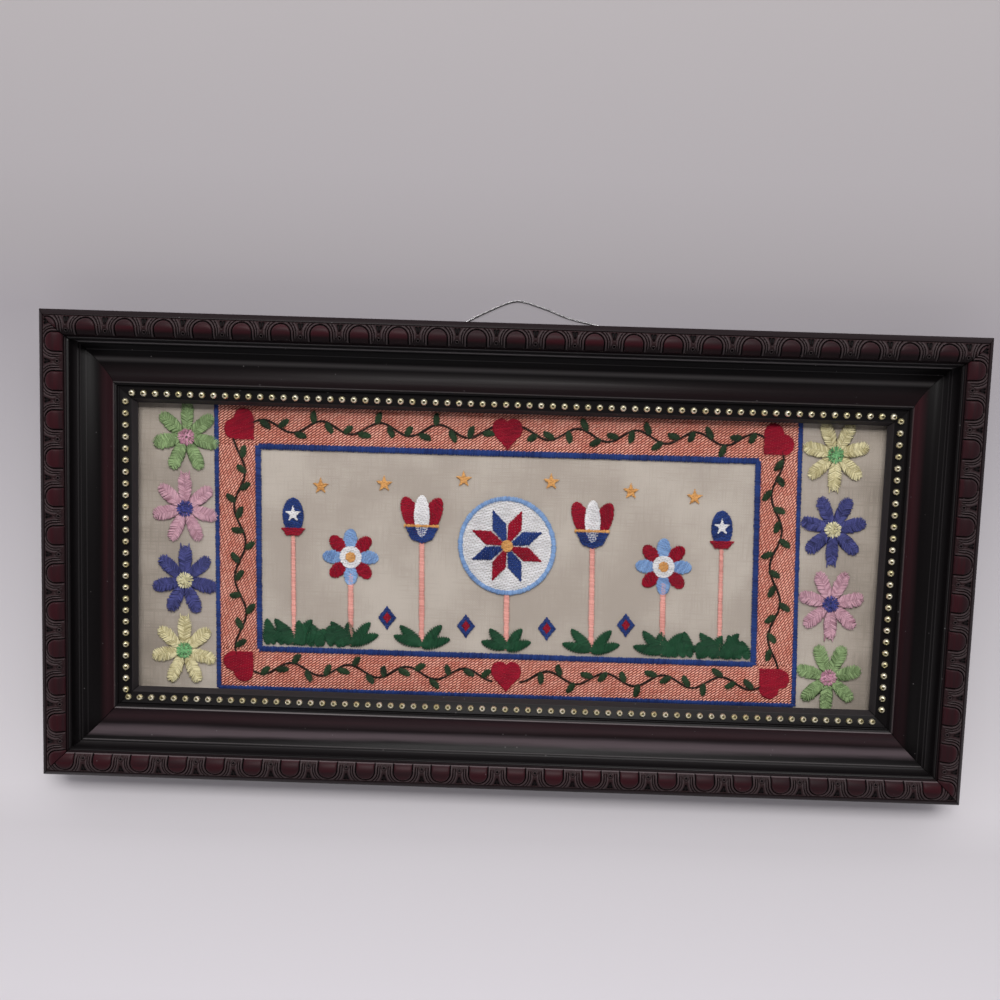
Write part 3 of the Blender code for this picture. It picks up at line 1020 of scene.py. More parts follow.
def makeCloth():
    across, up = (
        np.linspace(low, high, round((high - low) / cloth["cell"]) + 1)
        for low, high in ((clothLow.x, clothHigh.x), (clothLow.y, clothHigh.y))
    )
    points = [(x, y, clothHeight(x, y)) for y in up for x in across]
    sheet = newObject("embroideredCloth", points, gridFaces(0, len(across), len(up)), clothMaterial())
    thicken(sheet, cloth["thickness"])
    attach(sheet, "cream_cloth", "cloth_panel")
    print("cloth finished")
    return sheet


clothPiece = makeCloth()

# where the corners of the inner border lie on the cloth, from the frame's middle, in millimetres
design = {
    "half": (127.0, 52.5),
    "topLeft": Vector((-127.9, 53.4)),
    "topRight": Vector((124.9, 53.9)),
    "lowRight": Vector((128.1, -52.5)),
    "lowLeft": Vector((-126.0, -52.8)),
    "thread": (0.56, 0.5),  # width and height of a laid thread
    "fillSpacing": 0.42,
    "satinSpacing": 0.44,
}


def onCloth(x, y):
    # a place on the design, in millimetres, as one on the cloth in metres
    halfX, halfY = design["half"]
    s = (x / halfX + 1) / 2
    t = (y / halfY + 1) / 2
    low = design["lowLeft"] * (1 - s) + design["lowRight"] * s
    high = design["topLeft"] * (1 - s) + design["topRight"] * s
    place = low * (1 - t) + high * t
    return place.x * mm, place.y * mm


def atHeight(x, y, lift):
    # a place on the cloth in metres, lifted some millimetres
    return x, y, float(clothHeight(x, y)) + lift * mm


def polar(x, y, reach, angle):
    return x + reach * math.cos(angle), y + reach * math.sin(angle)


def unitStitch():
    # a plump lens of thread, one long, one wide and one high
    points = [(-0.5, 0, 0)]
    for x, size in ((-0.36, 0.8), (0.0, 1.0), (0.36, 0.8)):
        points += [(x, 0.5 * size, 0), (x, 0, 0.5 * size), (x, -0.5 * size, 0), (x, 0, -0.5 * size)]
    points.append((0.5, 0, 0))
    faces = [(0, 1 + (k + 1) % 4, 1 + k) for k in range(4)]
    faces += ringFaces(1, 4, 3)
    faces += [(13, 9 + k, 9 + (k + 1) % 4) for k in range(4)]
    stitch = newObject("unitStitch", points, faces)
    close(editable(stitch.data, 1e-6), stitch.data)
    stitch.hide_render = True
    return stitch


def stitchGroup():
    # one stitch on every point, turned and stretched by what the point holds
    given = {"Stitch": "Object", "Thread Width": 0.0005, "Thread Height": 0.0004}
    group, source, result = newShapeGroup("laidStitches", given)
    dip, turn, reach, plump = (pointValue(group, name) for name in ("dip", "turn", "reach", "plump"))
    values = {
        "Points": source["Geometry"],
        "Instance": output(group, "GeometryNodeObjectInfo", {"Object": source["Stitch"]}, "Geometry"),
        "Rotation": output(group, "FunctionNodeEulerToRotation", {0: join(group, 0.0, dip, turn)}),
        "Scale": join(group, reach, source["Thread Width"] * plump, source["Thread Height"]),
    }
    endShapeGroup(source, result, output(group, "GeometryNodeInstanceOnPoints", values))
    return group


laidStitches = stitchGroup()
oneStitch = unitStitch()


def threadMaterial(name, deep, bright, drift=60.0):
    material, tree, shader = newMaterial(name, **threadLook["values"])
    tone = useGroup(tree, threadTone, {"Deep": deep, "Bright": bright, "Drift Scale": drift})
    finishShader(shader, tone["Colour"], None, tone["Height"], *threadLook["bump"])
    return material


# how much stitches vary, in degrees, millimetres and shares
play = {
    "turn": 2,
    "dip": 1.5,
    "plump": (0.9, 1.1),
    "tone": (0.3, 0.95),
    "ends": (-0.3, 0.2),  # how far in a row of filling may start
    "shortest": 0.3,
    "overlap": 1.06,  # of a stitch's length to its pitch
}


def sewPiece(name, stitches, thread, material, slotName, *replaced, mapped=True, seed=1):
    # each stitch is x, y, lift above the cloth, turn in degrees, length, plumpness and maybe its tone
    draw = random.Random(seed)
    places = []
    kept = {label: [] for label in ("turn", "reach", "plump", "dip", "tone")}
    for x, y, lift, turn, reach, plump, *tone in stitches:
        places.append(atHeight(*(onCloth(x, y) if mapped else (x * mm, y * mm)), lift))
        kept["turn"].append(math.radians(turn + draw.uniform(-play["turn"], play["turn"])))
        kept["reach"].append(reach * mm)
        kept["plump"].append(plump * draw.uniform(*play["plump"]))
        kept["dip"].append(math.radians(draw.uniform(-play["dip"], play["dip"])))
        own = draw.uniform(*play["tone"])
        kept["tone"].append(tone[0] if tone else own)
    holder = newObject("stitchPoints", places, [])
    keepValues(holder, kept)
    width, height = (side * mm for side in thread)
    values = {"Stitch": oneStitch, "Thread Width": width, "Thread Height": height, "Material": material}
    piece = grown(holder, name, laidStitches, values)
    for label in ("turn", "reach", "plump", "dip"):
        piece.data.attributes.remove(piece.data.attributes[label])
    attach(piece, slotName, *replaced)
    return piece


def fillShape(outlines, angle, spacing, length, lift, shift=0.38, gap=0.0):
    # rows of stitches inside closed outlines, each row starting a little further on
    turn = math.radians(angle)
    c, s = math.cos(turn), math.sin(turn)
    turned = [[(x * c + y * s, y * c - x * s) for x, y in outline] for outline in outlines]
    every = [v for outline in turned for u, v in outline]
    stitches = []
    draw = random.Random(len(every))
    for row in range(max(1, int((max(every) - min(every)) / spacing)) + 1):
        v = min(every) + spacing * (row + 0.5)
        cuts = []
        for outline in turned:
            for (u0, v0), (u1, v1) in zip(outline, outline[1:] + outline[:1]):
                if (v0 > v) != (v1 > v):
                    cuts.append(u0 + (u1 - u0) * (v - v0) / (v1 - v0))
        cuts.sort()
        phase = (row * shift % 1) * length
        for start, end in zip(cuts[::2], cuts[1::2]):
            early, late = play["ends"]
            start += draw.uniform(early, late)
            end += draw.uniform(-late, -early)
            first = math.ceil((start - phase) / length + 0.25)
            last = math.floor((end - phase) / length - 0.25)
            ends = [start] + [k * length + phase for k in range(first, last + 1)] + [end]
            for a, b in zip(ends, ends[1:]):
                if b - a >= play["shortest"]:
                    middle = (a + b) / 2
                    reach = (b - a) * play["overlap"] - gap
                    stitches.append((middle * c - v * s, middle * s + v * c, lift, angle, reach, 1.0))
    return stitches


def spacedAlong(points, step):
    # places a step apart along a line, with the direction there
    found, left = [], 0.0
    for (x0, y0), (x1, y1) in zip(points, points[1:]):
        length = math.hypot(x1 - x0, y1 - y0)
        turn = math.degrees(math.atan2(y1 - y0, x1 - x0))
        while left < length:
            t = left / length
            found.append((x0 + (x1 - x0) * t, y0 + (y1 - y0) * t, turn))
            left += step
        left -= length
    return found


def satinLine(points, width, lift, spacing=design["satinSpacing"], slant=84.0, seed=2):
    draw = random.Random(seed)
    return [
        (x, y, lift, turn + slant, width + draw.uniform(-0.45, 0.6), 1.0)
        for x, y, turn in spacedAlong(points, spacing)
    ]


def runLine(points, length, lift, plump):
    return [(x, y, lift, turn, length * 1.3, plump) for x, y, turn in spacedAlong(points, length)]


def satinLeaf(x, y, turn, length, width, lift, spacing=design["satinSpacing"], slant=66.0):
    stitches = []
    count = max(4, round(length / spacing))
    for k in range(count):
        t = (k + 0.5) / count
        notch = 0.84 + 0.13 * (k * 5 % 3)
        wide = width * math.sin(math.pi * t) ** 0.55 * (1.1 - 0.2 * t) * notch
        reach = max(0.7, wide / math.sin(math.radians(slant)))
        stitches.append((*polar(x, y, length * t, math.radians(turn)), lift, turn + slant, reach, 1.0))
    return stitches


def roundOutline(x, y, wide, high, turn=0.0, steps=30):
    c, s = math.cos(math.radians(turn)), math.sin(math.radians(turn))
    angles = [2 * math.pi * k / steps for k in range(steps)]
    around = [(wide * math.cos(a), high * math.sin(a)) for a in angles]
    return [(x + u * c - v * s, y + u * s + v * c) for u, v in around]


def heartOutline(x, y, side, turn=0.0, stretch=1.0, steps=10):
    # a square with half rounds on two sides; its lobes point to turn
    half = side / 2
    arc = np.linspace(0, math.pi, steps)
    points = [(0.0, 0.0), (side, 0.0)]
    points += [(side + half * math.sin(a), half - half * math.cos(a)) for a in arc[1:]]
    points += [(half + half * math.cos(a), side + half * math.sin(a)) for a in arc]
    tilt = math.radians(turn - 45)
    c, s = math.cos(tilt), math.sin(tilt)
    placed = [(u * c - v * s, (u * s + v * c) * stretch) for u, v in points]
    middleX, middleY = ((max(values) + min(values)) / 2 for values in zip(*placed))
    return [(x + u - middleX, y + v - middleY) for u, v in placed]


def boxOutline(left, right, bottom, top, inset=0.0):
    left, right, bottom, top = left + inset, right - inset, bottom + inset, top - inset
    return [(left, bottom), (right, bottom), (right, top), (left, top)]


# lengths in millimetres and angles in degrees, and only the shade sheet's thickness in metres
border = {
    "outer": (-147.5, 147.4, -72.5, 75.4),  # left, right, bottom and top outside edges of the outer line
    "outerWidth": 2.5,
    "innerWidth": 3.3,
    # painted shade: dark colours of the sheet under the band's stitches
    "ground": ("#873c30", "#a65646"),
    "shadeSheetCell": 4.0,
    "shadeSheetLift": 0.1,
    "shadeSheetThickness": 0.08 * mm,
    "band": ("#dd8672", "#fabba9"),
    "bandThread": (0.76, 0.52),
    "fillAngle": 54.0,
    "fillFlatAngle": 34.0,
    "fillSpacing": 1.06,
    "fillLength": 2.6,
    "fillLift": 0.42,
    "fillShift": 0.36,
    "fillGap": 0.15,
    "heartSide": 10.2,
    "middleHeart": (9.1, 90, 1.08),  # its side, where its lobes point, and how it is stretched
    "heartFill": (0.4, 4.2, 0.95),  # spacing, length and lift of its stitches
    "corners": ((-134.9, 61.7), (135.5, 61.8), (136.1, -60.4), (-136.2, -60.1)),
    "middles": ((-0.2, 60.4), (0.0, -61.2)),
    "heartHalf": 7.2,
    "vine": (29.4, 3.0),  # length and swing of a wave
    "vineSide": (35.5, 2.8),
    "vineStart": 5.0,
    "stem": (1.6, 0.9, 1.7),  # length, lift and plumpness of its stitches
    "leafStep": 8.0,
    "leafEnds": (4.0, 3.5),  # bare lengths at the ends of a stem
    "leafLength": 6.1,
    "leafWidth": 4.3,
    "leafLift": 0.95,
}


def layGround():
    # painted shade: a dark sheet under the band's rows, for the shade between its stitches, as four strips
    # round the inner border
    left, right, bottom, top = border["outer"]
    halfX, halfY = design["half"]
    strips = (
        (left, right, halfY - 1, top - 1),
        (left, right, bottom + 1, 1 - halfY),
        (left + 1, 1 - halfX, 1 - halfY, halfY - 1),
        (halfX - 1, right - 1, 1 - halfY, halfY - 1),
    )
    points, faces = [], []
    for x0, x1, y0, y1 in strips:
        wide = max(2, round((x1 - x0) / border["shadeSheetCell"]) + 1)
        high = max(2, round((y1 - y0) / border["shadeSheetCell"]) + 1)
        faces += gridFaces(len(points), wide, high)
        spots = [(x, y) for y in np.linspace(y0, y1, high) for x in np.linspace(x0, x1, wide)]
        points += [atHeight(*onCloth(x, y), border["shadeSheetLift"]) for x, y in spots]
    ground = newObject("bandGround", points, faces, threadMaterial("bandShade", *border["ground"]))
    thicken(ground, border["shadeSheetThickness"])
    attach(ground, "salmon_thread")
    return ground


def sewBand():
    b = border
    left, right, bottom, top = b["outer"]
    inset = b["outerWidth"] * 0.6
    left, right, bottom, top = left + inset, right - inset, bottom + inset, top - inset
    innerX, innerY = (half - 1.2 for half in design["half"])
    boxes = (
        (left, right, innerY, top, b["fillFlatAngle"]),
        (left, right, bottom, -innerY, b["fillFlatAngle"]),
        (left, -innerX, -innerY, innerY, b["fillAngle"]),
        (innerX, right, -innerY, innerY, b["fillAngle"]),
    )
    rows = []
    for *sides, angle in boxes:
        settings = (angle, b["fillSpacing"], b["fillLength"], b["fillLift"], b["fillShift"], b["fillGap"])
        rows += fillShape([boxOutline(*sides)], *settings)
    salmon = threadMaterial("salmonThread", *b["band"])
    return sewPiece("salmonBand", rows, b["bandThread"], salmon, "salmon_thread", seed=11)


def vine(start, length, wave, swing, phase, turn, flip, draw):
    # a waving stem from start, with leaves by turns on either side
    c, s = math.cos(math.radians(turn)), math.sin(math.radians(turn))

    def place(along):
        off = swing * math.cos(2 * math.pi * (along - phase) / wave) * flip
        return start[0] + along * c - off * s, start[1] + along * s + off * c

    stem = [place(d) for d in np.linspace(0, length, max(12, round(length / 0.8)))]
    leaves = []
    side = -1
    along, bare = border["leafEnds"]
    while along < length - bare:
        x, y = place(along)
        aheadX, aheadY = place(along + 0.4)
        heading = math.degrees(math.atan2(aheadY - y, aheadX - x))
        lean = draw.uniform(38, 62) * side * flip
        size = (border["leafLength"] * draw.uniform(0.9, 1.08), border["leafWidth"])
        leaves += satinLeaf(x, y, heading + lean, *size, border["leafLift"], 0.42, 62.0)
        along += border["leafStep"] * draw.uniform(0.9, 1.1)
        side = -side
    return stem, leaves


def vineRuns():
    b = border
    heart = b["heartHalf"]
    topLeft, topRight, lowRight, lowLeft = b["corners"]
    topMiddle, lowMiddle = b["middles"]
    level = (
        (topLeft, topMiddle, 1, 0.0, 1),
        (lowLeft, lowMiddle, 1, 0.0, -1),
        (topRight, topMiddle, -1, 180.0, -1),
        (lowRight, lowMiddle, -1, 180.0, 1),
    )
    for corner, middle, way, turn, flip in level:
        start = (corner[0] + way * heart, (corner[1] + middle[1]) / 2)
        length = way * (middle[0] - corner[0]) - 2 * heart
        yield start, length, *b["vine"], b["vineStart"], turn, flip
    upright = (
        (topLeft[0], lowLeft[1], topLeft[1], 1, 90.0),
        (lowRight[0] - 0.9, topRight[1], lowRight[1], -1, -90.0),
    )
    for x, near, far, way, turn in upright:
        length = way * (far - near) - 2 * heart + 1
        yield (x, near + way * heart - way * 0.5), length, *b["vineSide"], length + 1, turn, 1


def sewBorder(rows):
    b = border
    halfX, halfY = design["half"]
    lines = (
        (boxOutline(*b["outer"], b["outerWidth"] / 2), b["outerWidth"], 0.72),
        (boxOutline(-halfX, halfX, -halfY, halfY, b["innerWidth"] / 2), b["innerWidth"], 0.78),
    )
    for ring, width, lift in lines:
        for ends in zip(ring, ring[1:] + ring[:1]):
            rows["royalBlue"] += satinLine(ends, width, lift)
    draw = random.Random(5)
    for run in vineRuns():
        stem, leaves = vine(*run, draw)
        rows["stem"] += runLine(stem, *b["stem"])
        rows["leaf"] += leaves
    lobes = (135, 45, -45, -135)
    hearts = [(heartOutline(*spot, b["heartSide"], turn), 20) for spot, turn in zip(b["corners"], lobes)]
    hearts += [(heartOutline(*spot, *b["middleHeart"]), 8) for spot in b["middles"]]
    for heart, angle in hearts:
        rows["crimson"] += fillShape([heart], angle, *b["heartFill"])


# places in millimetres, those of a pair as distance either side of the middle and height
panel = {
    "ground": -47.5,
    "medallion": (0.0, 5.0),
    "starPoints": 8,
    "starReach": 19.5,
    "starWaist": (0.56, 0.36),  # share of the reach where a point is widest, and half its spread in radians
    "ringReach": 23.6,
    "ringWidth": 2.6,
    "tulips": (43.0, 15.0),
    # how far each petal leans, its thread, half its width and its lift
    "tulipPetals": ((24, "crimson", 4.6, 0.7), (-24, "crimson", 4.6, 0.7), (0, "white", 4.0, 0.95)),
    "tulipPetal": (10.5, 3.6),  # half its length, and how far up it lies
    "tulipCup": ((-8.5, -1.5), (8.5, -1.5), (5.5, -8), (0, -10), (-5.5, -8)),
    "tulipRim": ((-8.8, -1.3), (8.8, -1.3)),
    "rosettes": (79.0, -3.0),
    "rosettePetals": (8, 9.0, 5.2, 3.5),  # how many, how far out, and half their length and width
    "buds": (108.0, 17.0),
    "budSize": (9.0, 5.4),  # half its height and width
    "budBase": ((-6.4, -6.2), (6.4, -6.2), (3.4, -10), (-3.4, -10)),
    "smallStars": ((22.0, 37.5), (62.0, 34.0), (94.0, 32.0)),
    "diamonds": ((20.5, -36.0), (60.5, -33.0)),
    "diamondSizes": ((4.6, 6.0), (2.2, 2.9)),  # half widths and heights of the outer and inner outline
    "stemWidth": 3.0,
    "stemLift": 0.55,
    "bushLeaves": 13,
}


def starOutline(x, y, reach, inner, points=5):
    angles = [math.radians(90.0 + 180 * k / points) for k in range(points * 2)]
    return [polar(x, y, inner if k % 2 else reach, a) for k, a in enumerate(angles)]


def diamond(x, y, wide, high):
    return [(x - wide, y), (x, y - high), (x + wide, y), (x, y + high)]


def moved(x, y, outline):
    return [(x + u, y + v) for u, v in outline]


def sewPanel(rows):
    p = panel

    def fill(name, outline, angle, length, lift, spacing=design["fillSpacing"]):
        rows[name] += fillShape([outline], angle, spacing, length, lift)

    def disc(name, x, y, reach, angle, lift, spacing=design["fillSpacing"]):
        fill(name, roundOutline(x, y, reach, reach), angle, 4.0, lift, spacing)

    def pole(x, top, width=p["stemWidth"]):
        rows["paleSalmon"] += satinLine([(x, p["ground"]), (x, top)], width, p["stemLift"])

    def medallion(x, y):
        reach = p["ringReach"]
        pole(x, y - reach)
        disc("white", x, y, reach, 0, 0.42, 0.5)
        ring = roundOutline(x, y, reach, reach, steps=60)
        rows["skyBlue"] += satinLine(ring + ring[:1], p["ringWidth"], 0.8, 0.46)
        # kites round the middle, in two threads by turns
        share, spread = p["starWaist"]
        waist = p["starReach"] * share
        for k in range(p["starPoints"]):
            turn = 360 / p["starPoints"] * (k + 0.5)
            a = math.radians(turn)
            corners = ((0, a), (waist, a - spread), (p["starReach"], a), (waist, a + spread))
            kite = [polar(x, y, *corner) for corner in corners]
            fill("crimson" if k % 2 else "royalBlue", kite, turn + 62, 5.0, 0.8)
        disc("gold", x, y, 3.0, 20, 1.05)

    def tulip(x, y):
        pole(x, y - 9)
        reach, above = p["tulipPetal"]
        for tilt, name, wide, lift in p["tulipPetals"]:
            middleX, middleY = polar(x, y, above, math.radians(90 - tilt))
            petal = roundOutline(middleX + tilt * 0.14, middleY, reach, wide, 90 - tilt)
            fill(name, petal, 90 - tilt + 68, 4.4, lift)
        fill("royalBlue", moved(x, y, p["tulipCup"]), 0, 4.4, 1.0, 0.44)
        rows["gold"] += satinLine(moved(x, y, p["tulipRim"]), 1.5, 1.12)

    def rosette(x, y):
        pole(x, y - 8)
        count, out, *size = p["rosettePetals"]
        for k in range(count):
            turn = 360 / count * k
            petal = roundOutline(*polar(x, y, out, math.radians(turn)), *size, turn)
            fill("crimson" if k % 2 else "skyBlue", petal, turn + 66, 5.0, 0.62)
        disc("white", x, y, 5.6, 0, 0.85, 0.44)
        disc("gold", x, y, 2.6, 30, 1.08)

    def bud(x, y, side):
        pole(x, y - 6, p["stemWidth"] - 0.6)
        fill("royalBlue", roundOutline(x, y, *p["budSize"], 90), 24 * side, 4.4, 0.7)
        fill("white", starOutline(x, y + 0.6, 4.4, 1.7), 0, 4.0, 1.0)
        fill("crimson", moved(x, y, p["budBase"]), 0, 4.4, 0.95)

    medallion(*p["medallion"])
    for side in (-1, 1):
        mirrored = {name: (p[name][0] * side, p[name][1]) for name in ("tulips", "rosettes", "buds")}
        tulip(*mirrored["tulips"])
        rosette(*mirrored["rosettes"])
        bud(*mirrored["buds"], side)
        for across, y in p["smallStars"]:
            fill("gold", starOutline(across * side, y, 4.3, 1.8), 12, 3.6, 0.6, 0.4)
        for across, y in p["diamonds"]:
            outer, inner = (diamond(across * side, y, *size) for size in p["diamondSizes"])
            rows["royalBlue"] += fillShape([outer, inner], 0, design["fillSpacing"], 4.0, 0.6)
            fill("crimson", inner, 0, 4.0, 0.6)
    draw = random.Random(8)
    feet = [(side * p[name][0], 15.0) for side in (-1, 1) for name in ("tulips", "rosettes", "buds")]
    for x, length in [(0.0, 13.0), *feet]:
        for turn in (18, 48, 132, 162):
            lean = turn + draw.uniform(-4, 4)
            rows["garden"] += satinLeaf(x, p["ground"] + 0.5, lean, length, 6.4, 0.75)
    for side in (-1, 1):
        for k in range(p["bushLeaves"]):
            size = (8.0 + 5.5 * math.sin(0.9 * k + 0.6) ** 2, 6.8)
            place = (side * (122.0 - 3.6 * k), p["ground"] - 1, 90 + draw.uniform(-34, 34))
            rows["garden"] += satinLeaf(*place, *size, 0.6 + 0.1 * (k % 2), slant=70)


# each thread's deep and bright shades, and the slot of its stitches
threads = {
    "royalBlue": ("#101d4d", "#2a4486", "blue_thread"),
    "crimson": ("#68041b", "#a2092b", "crimson_thread"),
    "leaf": ("#121d14", "#2b4429", "leaf_thread"),
    "stem": ("#140c09", "#2a1912", "leaf_thread"),
    "white": ("#c4c2c4", "#f2f0f2", "white_thread"),
    "skyBlue": ("#5d7cae", "#93b3dc", "blue_thread"),
    "gold": ("#ac7336", "#e6b06e", "gold_thread"),
    "paleSalmon": ("#c48078", "#eeb2a8", "salmon_thread"),
    "garden": ("#0c2c1c", "#1f5034", "leaf_thread"),
}


def sewEmbroidery():
    sewn = [layGround(), sewBand()]
    rows = {name: [] for name in threads}
    sewBorder(rows)
    sewPanel(rows)
    for seed, (name, (deep, bright, slotName)) in enumerate(threads.items(), 12):
        thread = (0.72, 0.5) if name == "stem" else design["thread"]
        material = threadMaterial(name + "Thread", deep, bright)
        sewn.append(sewPiece(name + "Stitches", rows[name], thread, material, slotName, seed=seed))
    print("embroidery sewn")
    return sewn


sewnPieces = sewEmbroidery()

# lengths in millimetres
daisies = {
    "petals": 7,
    "petalStart": 2.4,
    "petalEnd": 16.4,
    "petalWide": 3.7,
    "stretch": 1.08,  # up the cloth
    # count, inner and outer ends, and lift of each ring of spokes in a middle
    "spokes": ((34, 2.3, 4.4, 1.14), (17, 0.5, 2.9, 1.22)),
    "tufts": (14, 2.6, 0.8, 1.25),  # count, reach, half length and lift of the short threads over them
    "ribSpacing": 0.5,
    "ribLift": 0.84,
    # inner and outer ends of the two threads that hold each daisy, across and up from its middle
    "holders": ((1.9, 14.6), (2.1, 19.4)),
    "thread": (0.56, 0.36),
    "middleThread": (0.6, 0.55),
    "drift": 200.0,
    "left": ("green", "pink", "violet", "yellow"),
    "right": ("yellow", "violet", "pink", "green"),
    # each colour's middle, and its shades in petals and in middles
    "colours": {
        "green": ("pink", ("#536941", "#9ab380"), ("#3c6c3e", "#83bd84")),
        "pink": ("violet", ("#9a6e7c", "#d9aebc"), ("#8a5468", "#d9a4b8")),
        "violet": ("yellow", ("#24264a", "#525593"), ("#222654", "#4c509a")),
        "yellow": ("green", ("#9c8f5f", "#eae1b8"), ("#948a5c", "#efe8c4")),
    },
}


def threadBetween(near, far, lift, plump=1.0):
    (x0, y0), (x1, y1) = near, far
    turn = math.degrees(math.atan2(y1 - y0, x1 - x0))
    return (x0 + x1) / 2, (y0 + y1) / 2, lift, turn, math.hypot(x1 - x0, y1 - y0), plump


def petalRows(x, y, first, draw):
    # petals of ribs either side of a midrib, with loose loops along it
    d = daisies
    rows = []

    def turned(u, v, turn):
        c, s = math.cos(turn), math.sin(turn)
        return x + u * c - v * s, y + (u * s + v * c) * d["stretch"]

    start, end = d["petalStart"], d["petalEnd"]
    half = (end - start) / 2
    for k in range(d["petals"]):
        turn = math.radians(first + 360 * k / d["petals"] + draw.uniform(-2.5, 2.5))
        plump = 1.8 * d["petalWide"] / d["thread"][0]
        rows.append((*threadBetween(turned(start, 0, turn), turned(end + 0.2, 0, turn), 0.68, plump), 0.4))
        size = draw.uniform(0.95, 1.05)
        for j in range(round((end - start) / d["ribSpacing"])):
            u = start + d["ribSpacing"] * (j + 0.5)
            off = abs(u - start - half) / half
            wide = size * d["petalWide"] * max(0.1, 1 - off**2.6) ** 0.55 * (0.8 + 0.28 * u / end)
            for way in (-1, 1):
                slip = draw.uniform(-0.2, 0.2)
                inner = turned(u - 1.0 + slip, -0.25 * way, turn)
                outer = turned(u + 0.8 + slip, wide * way * draw.uniform(0.88, 1.1), turn)
                lift = d["ribLift"] + draw.uniform(-0.05, 0.06) + (0.03 if j % 2 else 0)
                rows.append(threadBetween(inner, outer, lift, draw.uniform(0.85, 1.15)))
            if j % 2 == 0:
                knot = turned(u + draw.uniform(-0.2, 0.2), draw.uniform(-0.5, 0.5), turn)
                tip = turned(u + 0.9, draw.uniform(-0.8, 0.8), turn)
                rows.append(threadBetween(knot, tip, 1.0, 0.8))
    return rows


def middleRows(x, y, draw):
    # two rings of spokes, with short threads across
    rows = []
    for count, near, far, lift in daisies["spokes"]:
        for k in range(count):
            a = 2 * math.pi * (k + draw.uniform(-0.3, 0.3)) / count
            inner, outer = near + draw.uniform(-0.3, 0.3), far + draw.uniform(-0.5, 0.35)
            rows.append(threadBetween(polar(x, y, inner, a), polar(x, y, outer, a), lift))
    count, far, half, lift = daisies["tufts"]
    for k in range(count):
        a, reach = draw.uniform(0, 2 * math.pi), draw.uniform(0, far)
        spot, lean = polar(x, y, reach, a), draw.uniform(0, math.pi)
        rows.append(threadBetween(polar(*spot, -half, lean), polar(*spot, half, lean), lift))
    return rows


def makeDaisies():
    d = daisies
    draw = random.Random(31)
    petalThreads, middleThreads = (
        {c: threadMaterial(c + part, *d["colours"][c][which], d["drift"]) for c in d["left"]}
        for which, part in enumerate(("Thread", "MiddleThread"), 1)
    )
    reach = (d["petalEnd"] + 0.1) * d["stretch"]
    pieces = []
    for side, up in (("left", 1), ("right", -1)):
        for number, colour in enumerate(d[side], 1):
            node = f"daisy_{side}_{number}"
            low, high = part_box(node)
            x = (low.x + high.x) / 2 / mm
            y = high.y / mm - reach if side == "left" else low.y / mm + reach
            rows = petalRows(x, y, 90 * up, draw)
            for way in (-1, 1):
                near, far = ((x + across * way, y + above * up) for across, above in d["holders"])
                rows.append(threadBetween(near, far, 0.9, 1.3))
            middle = d["colours"][colour][0]
            middles = middleRows(x, y, draw)
            parts = (
                (40, "Petals", rows, d["thread"], petalThreads[colour], colour + "_thread", node),
                (60, "Middle", middles, d["middleThread"], middleThreads[middle], middle + "_thread"),
            )
            for seed, part, *dress in parts:
                name = f"daisy{part}_{side}_{number}"
                pieces.append(sewPiece(name, *dress, mapped=False, seed=seed + number))
    print("daisies sewn")
    return pieces


sewnPieces += makeDaisies()
bpy.data.objects.remove(oneStitch)

back = {"board": "#6d4c33", "boardLight": "#8c6848", "fibreShare": 0.6}


def boardMaterial():
    material, tree, shader = newMaterial("pressedBoard", Roughness=0.8)
    spot = objectSpot(tree)
    fibre = noise(spot, 900.0, 6.0, 0.7)
    cloud = noise(spot, 30.0, 3.0)
    share = (fibre * back["fibreShare"] + cloud * (1 - back["fibreShare"])).remap(0.35, 0.65)
    finishShader(shader, mixColour(share, back["board"], back["boardLight"]), None, fibre, 0.3, 0.1 * mm)
    return material


dressNode("back_board", boardMaterial())
for name in nodes:
    if name.startswith(("board_pin", "hanger_screw")):
        dressNode(name, steel)
print("back finished")

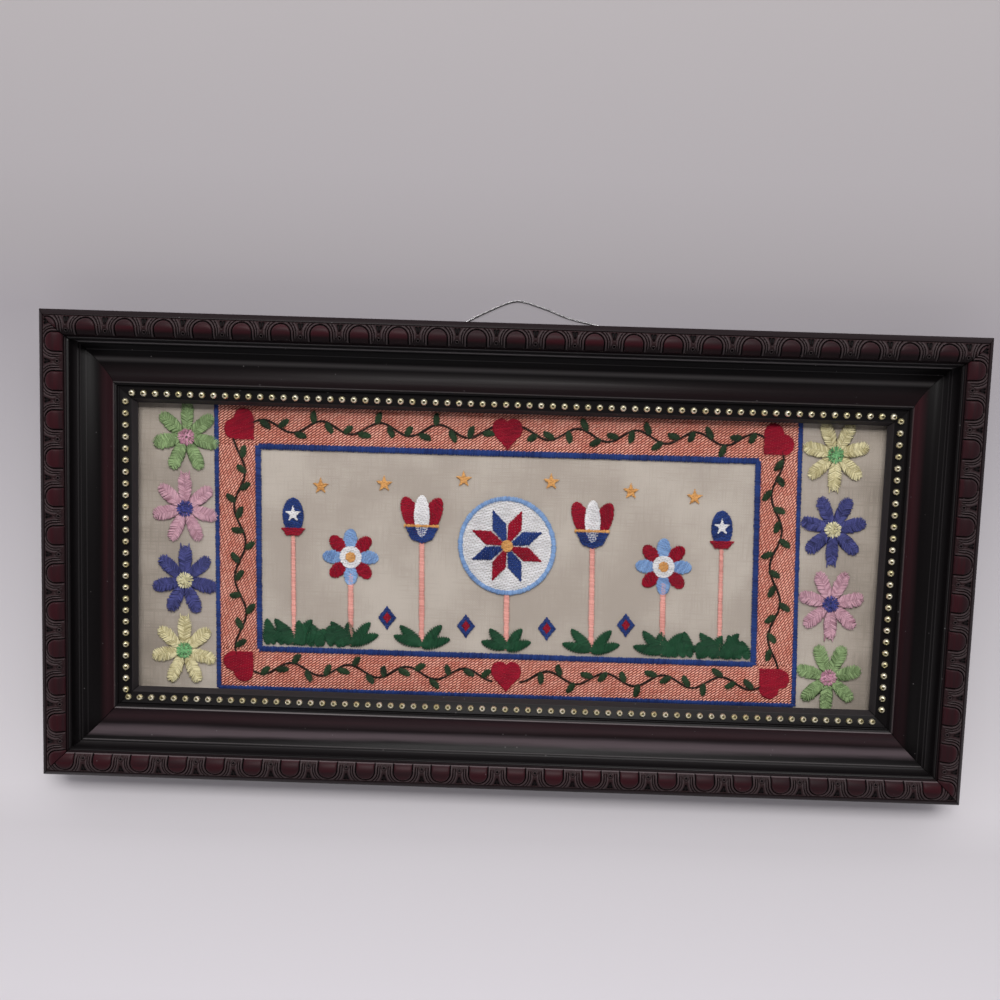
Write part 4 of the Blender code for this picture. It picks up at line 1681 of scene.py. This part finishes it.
light = {
    # place, width, height and power of each soft box, all turned to the middle
    "boxes": {
        "keyLight": ((0.0, 1.14, 1.88), 1.4, 0.5, 35.0),
        "sideLight": ((0.0, 1.75, 1.45), 2.2, 1.2, 19.0),
        "lowLight": ((0.0, -1.6, 1.65), 1.4, 0.6, 3.0),
    },
    "boxColour": (1.0, 0.985, 0.975),
    "overhead": "#040404",
    "horizon": "#f0ecf2",
    "horizonStart": 0.78,  # it runs from dark overhead to bright between these heights
    "horizonEnd": 0.5,
    "worldPower": 0.85,
    "floorReach": 3.0,
    # painted shade and light in the floor's tone from near to far, in metres from the middle: darker far
    # off and just past the frame's top edge, paler right below its bottom edge
    "floorHalf": 0.3,
    "floorPaintedShading": {
        -0.24: "#d9d6db",
        -0.15: "#cac7cb",
        -0.128: "#d0cdd1",
        0.118: "#99959a",
        0.15: "#9d999c",
        0.19: "#a29ea1",
        0.27: "#a5a1a3",
    },
}


def makeLights():
    for name, (place, width, height, power) in light["boxes"].items():
        data = bpy.data.lights.new(name, "AREA")
        data.shape = "RECTANGLE"
        data.size = width
        data.size_y = height
        data.energy = power
        data.color = light["boxColour"]
        box = placed(name, data)
        box.location = place
        box.rotation_euler = (-box.location).to_track_quat("-Z", "Y").to_euler()
    world = bpy.data.worlds.new("studio")
    world.use_nodes = True
    up = split(output(world.node_tree, "ShaderNodeTexCoord", None, "Generated"))[2]
    share = up.remap(light["horizonStart"], light["horizonEnd"])
    colour = mixColour(share, light["overhead"], light["horizon"])
    setInputs(world.node_tree.nodes["Background"], {"Color": colour, "Strength": light["worldPower"]})
    bpy.context.scene.world = world
    bpy.context.scene.view_settings.view_transform = "Standard"


def makeFloor():
    reach, half = light["floorReach"], light["floorHalf"]
    material, tree, shader = newMaterial("paleFloor", Roughness=0.9)
    share = split(objectSpot(tree))[1].remap(-half, half, kind="LINEAR")
    ramp = addNode(tree, "ShaderNodeValToRGB", {0: share})
    stops = ramp.color_ramp.elements
    while len(stops) < len(light["floorPaintedShading"]):
        stops.new(0.5)
    for stop, (place, tone) in zip(stops, light["floorPaintedShading"].items()):
        stop.position = (place + half) / (2 * half)
        stop.color = rgba(tone)
    finishShader(shader, Signal(ramp.outputs[0]))
    corners = [(x, y, 0) for x, y in boxOutline(-reach, reach, -reach, reach)]
    newObject("floor", corners, [(0, 1, 2, 3)], material)


makeLights()
makeFloor()
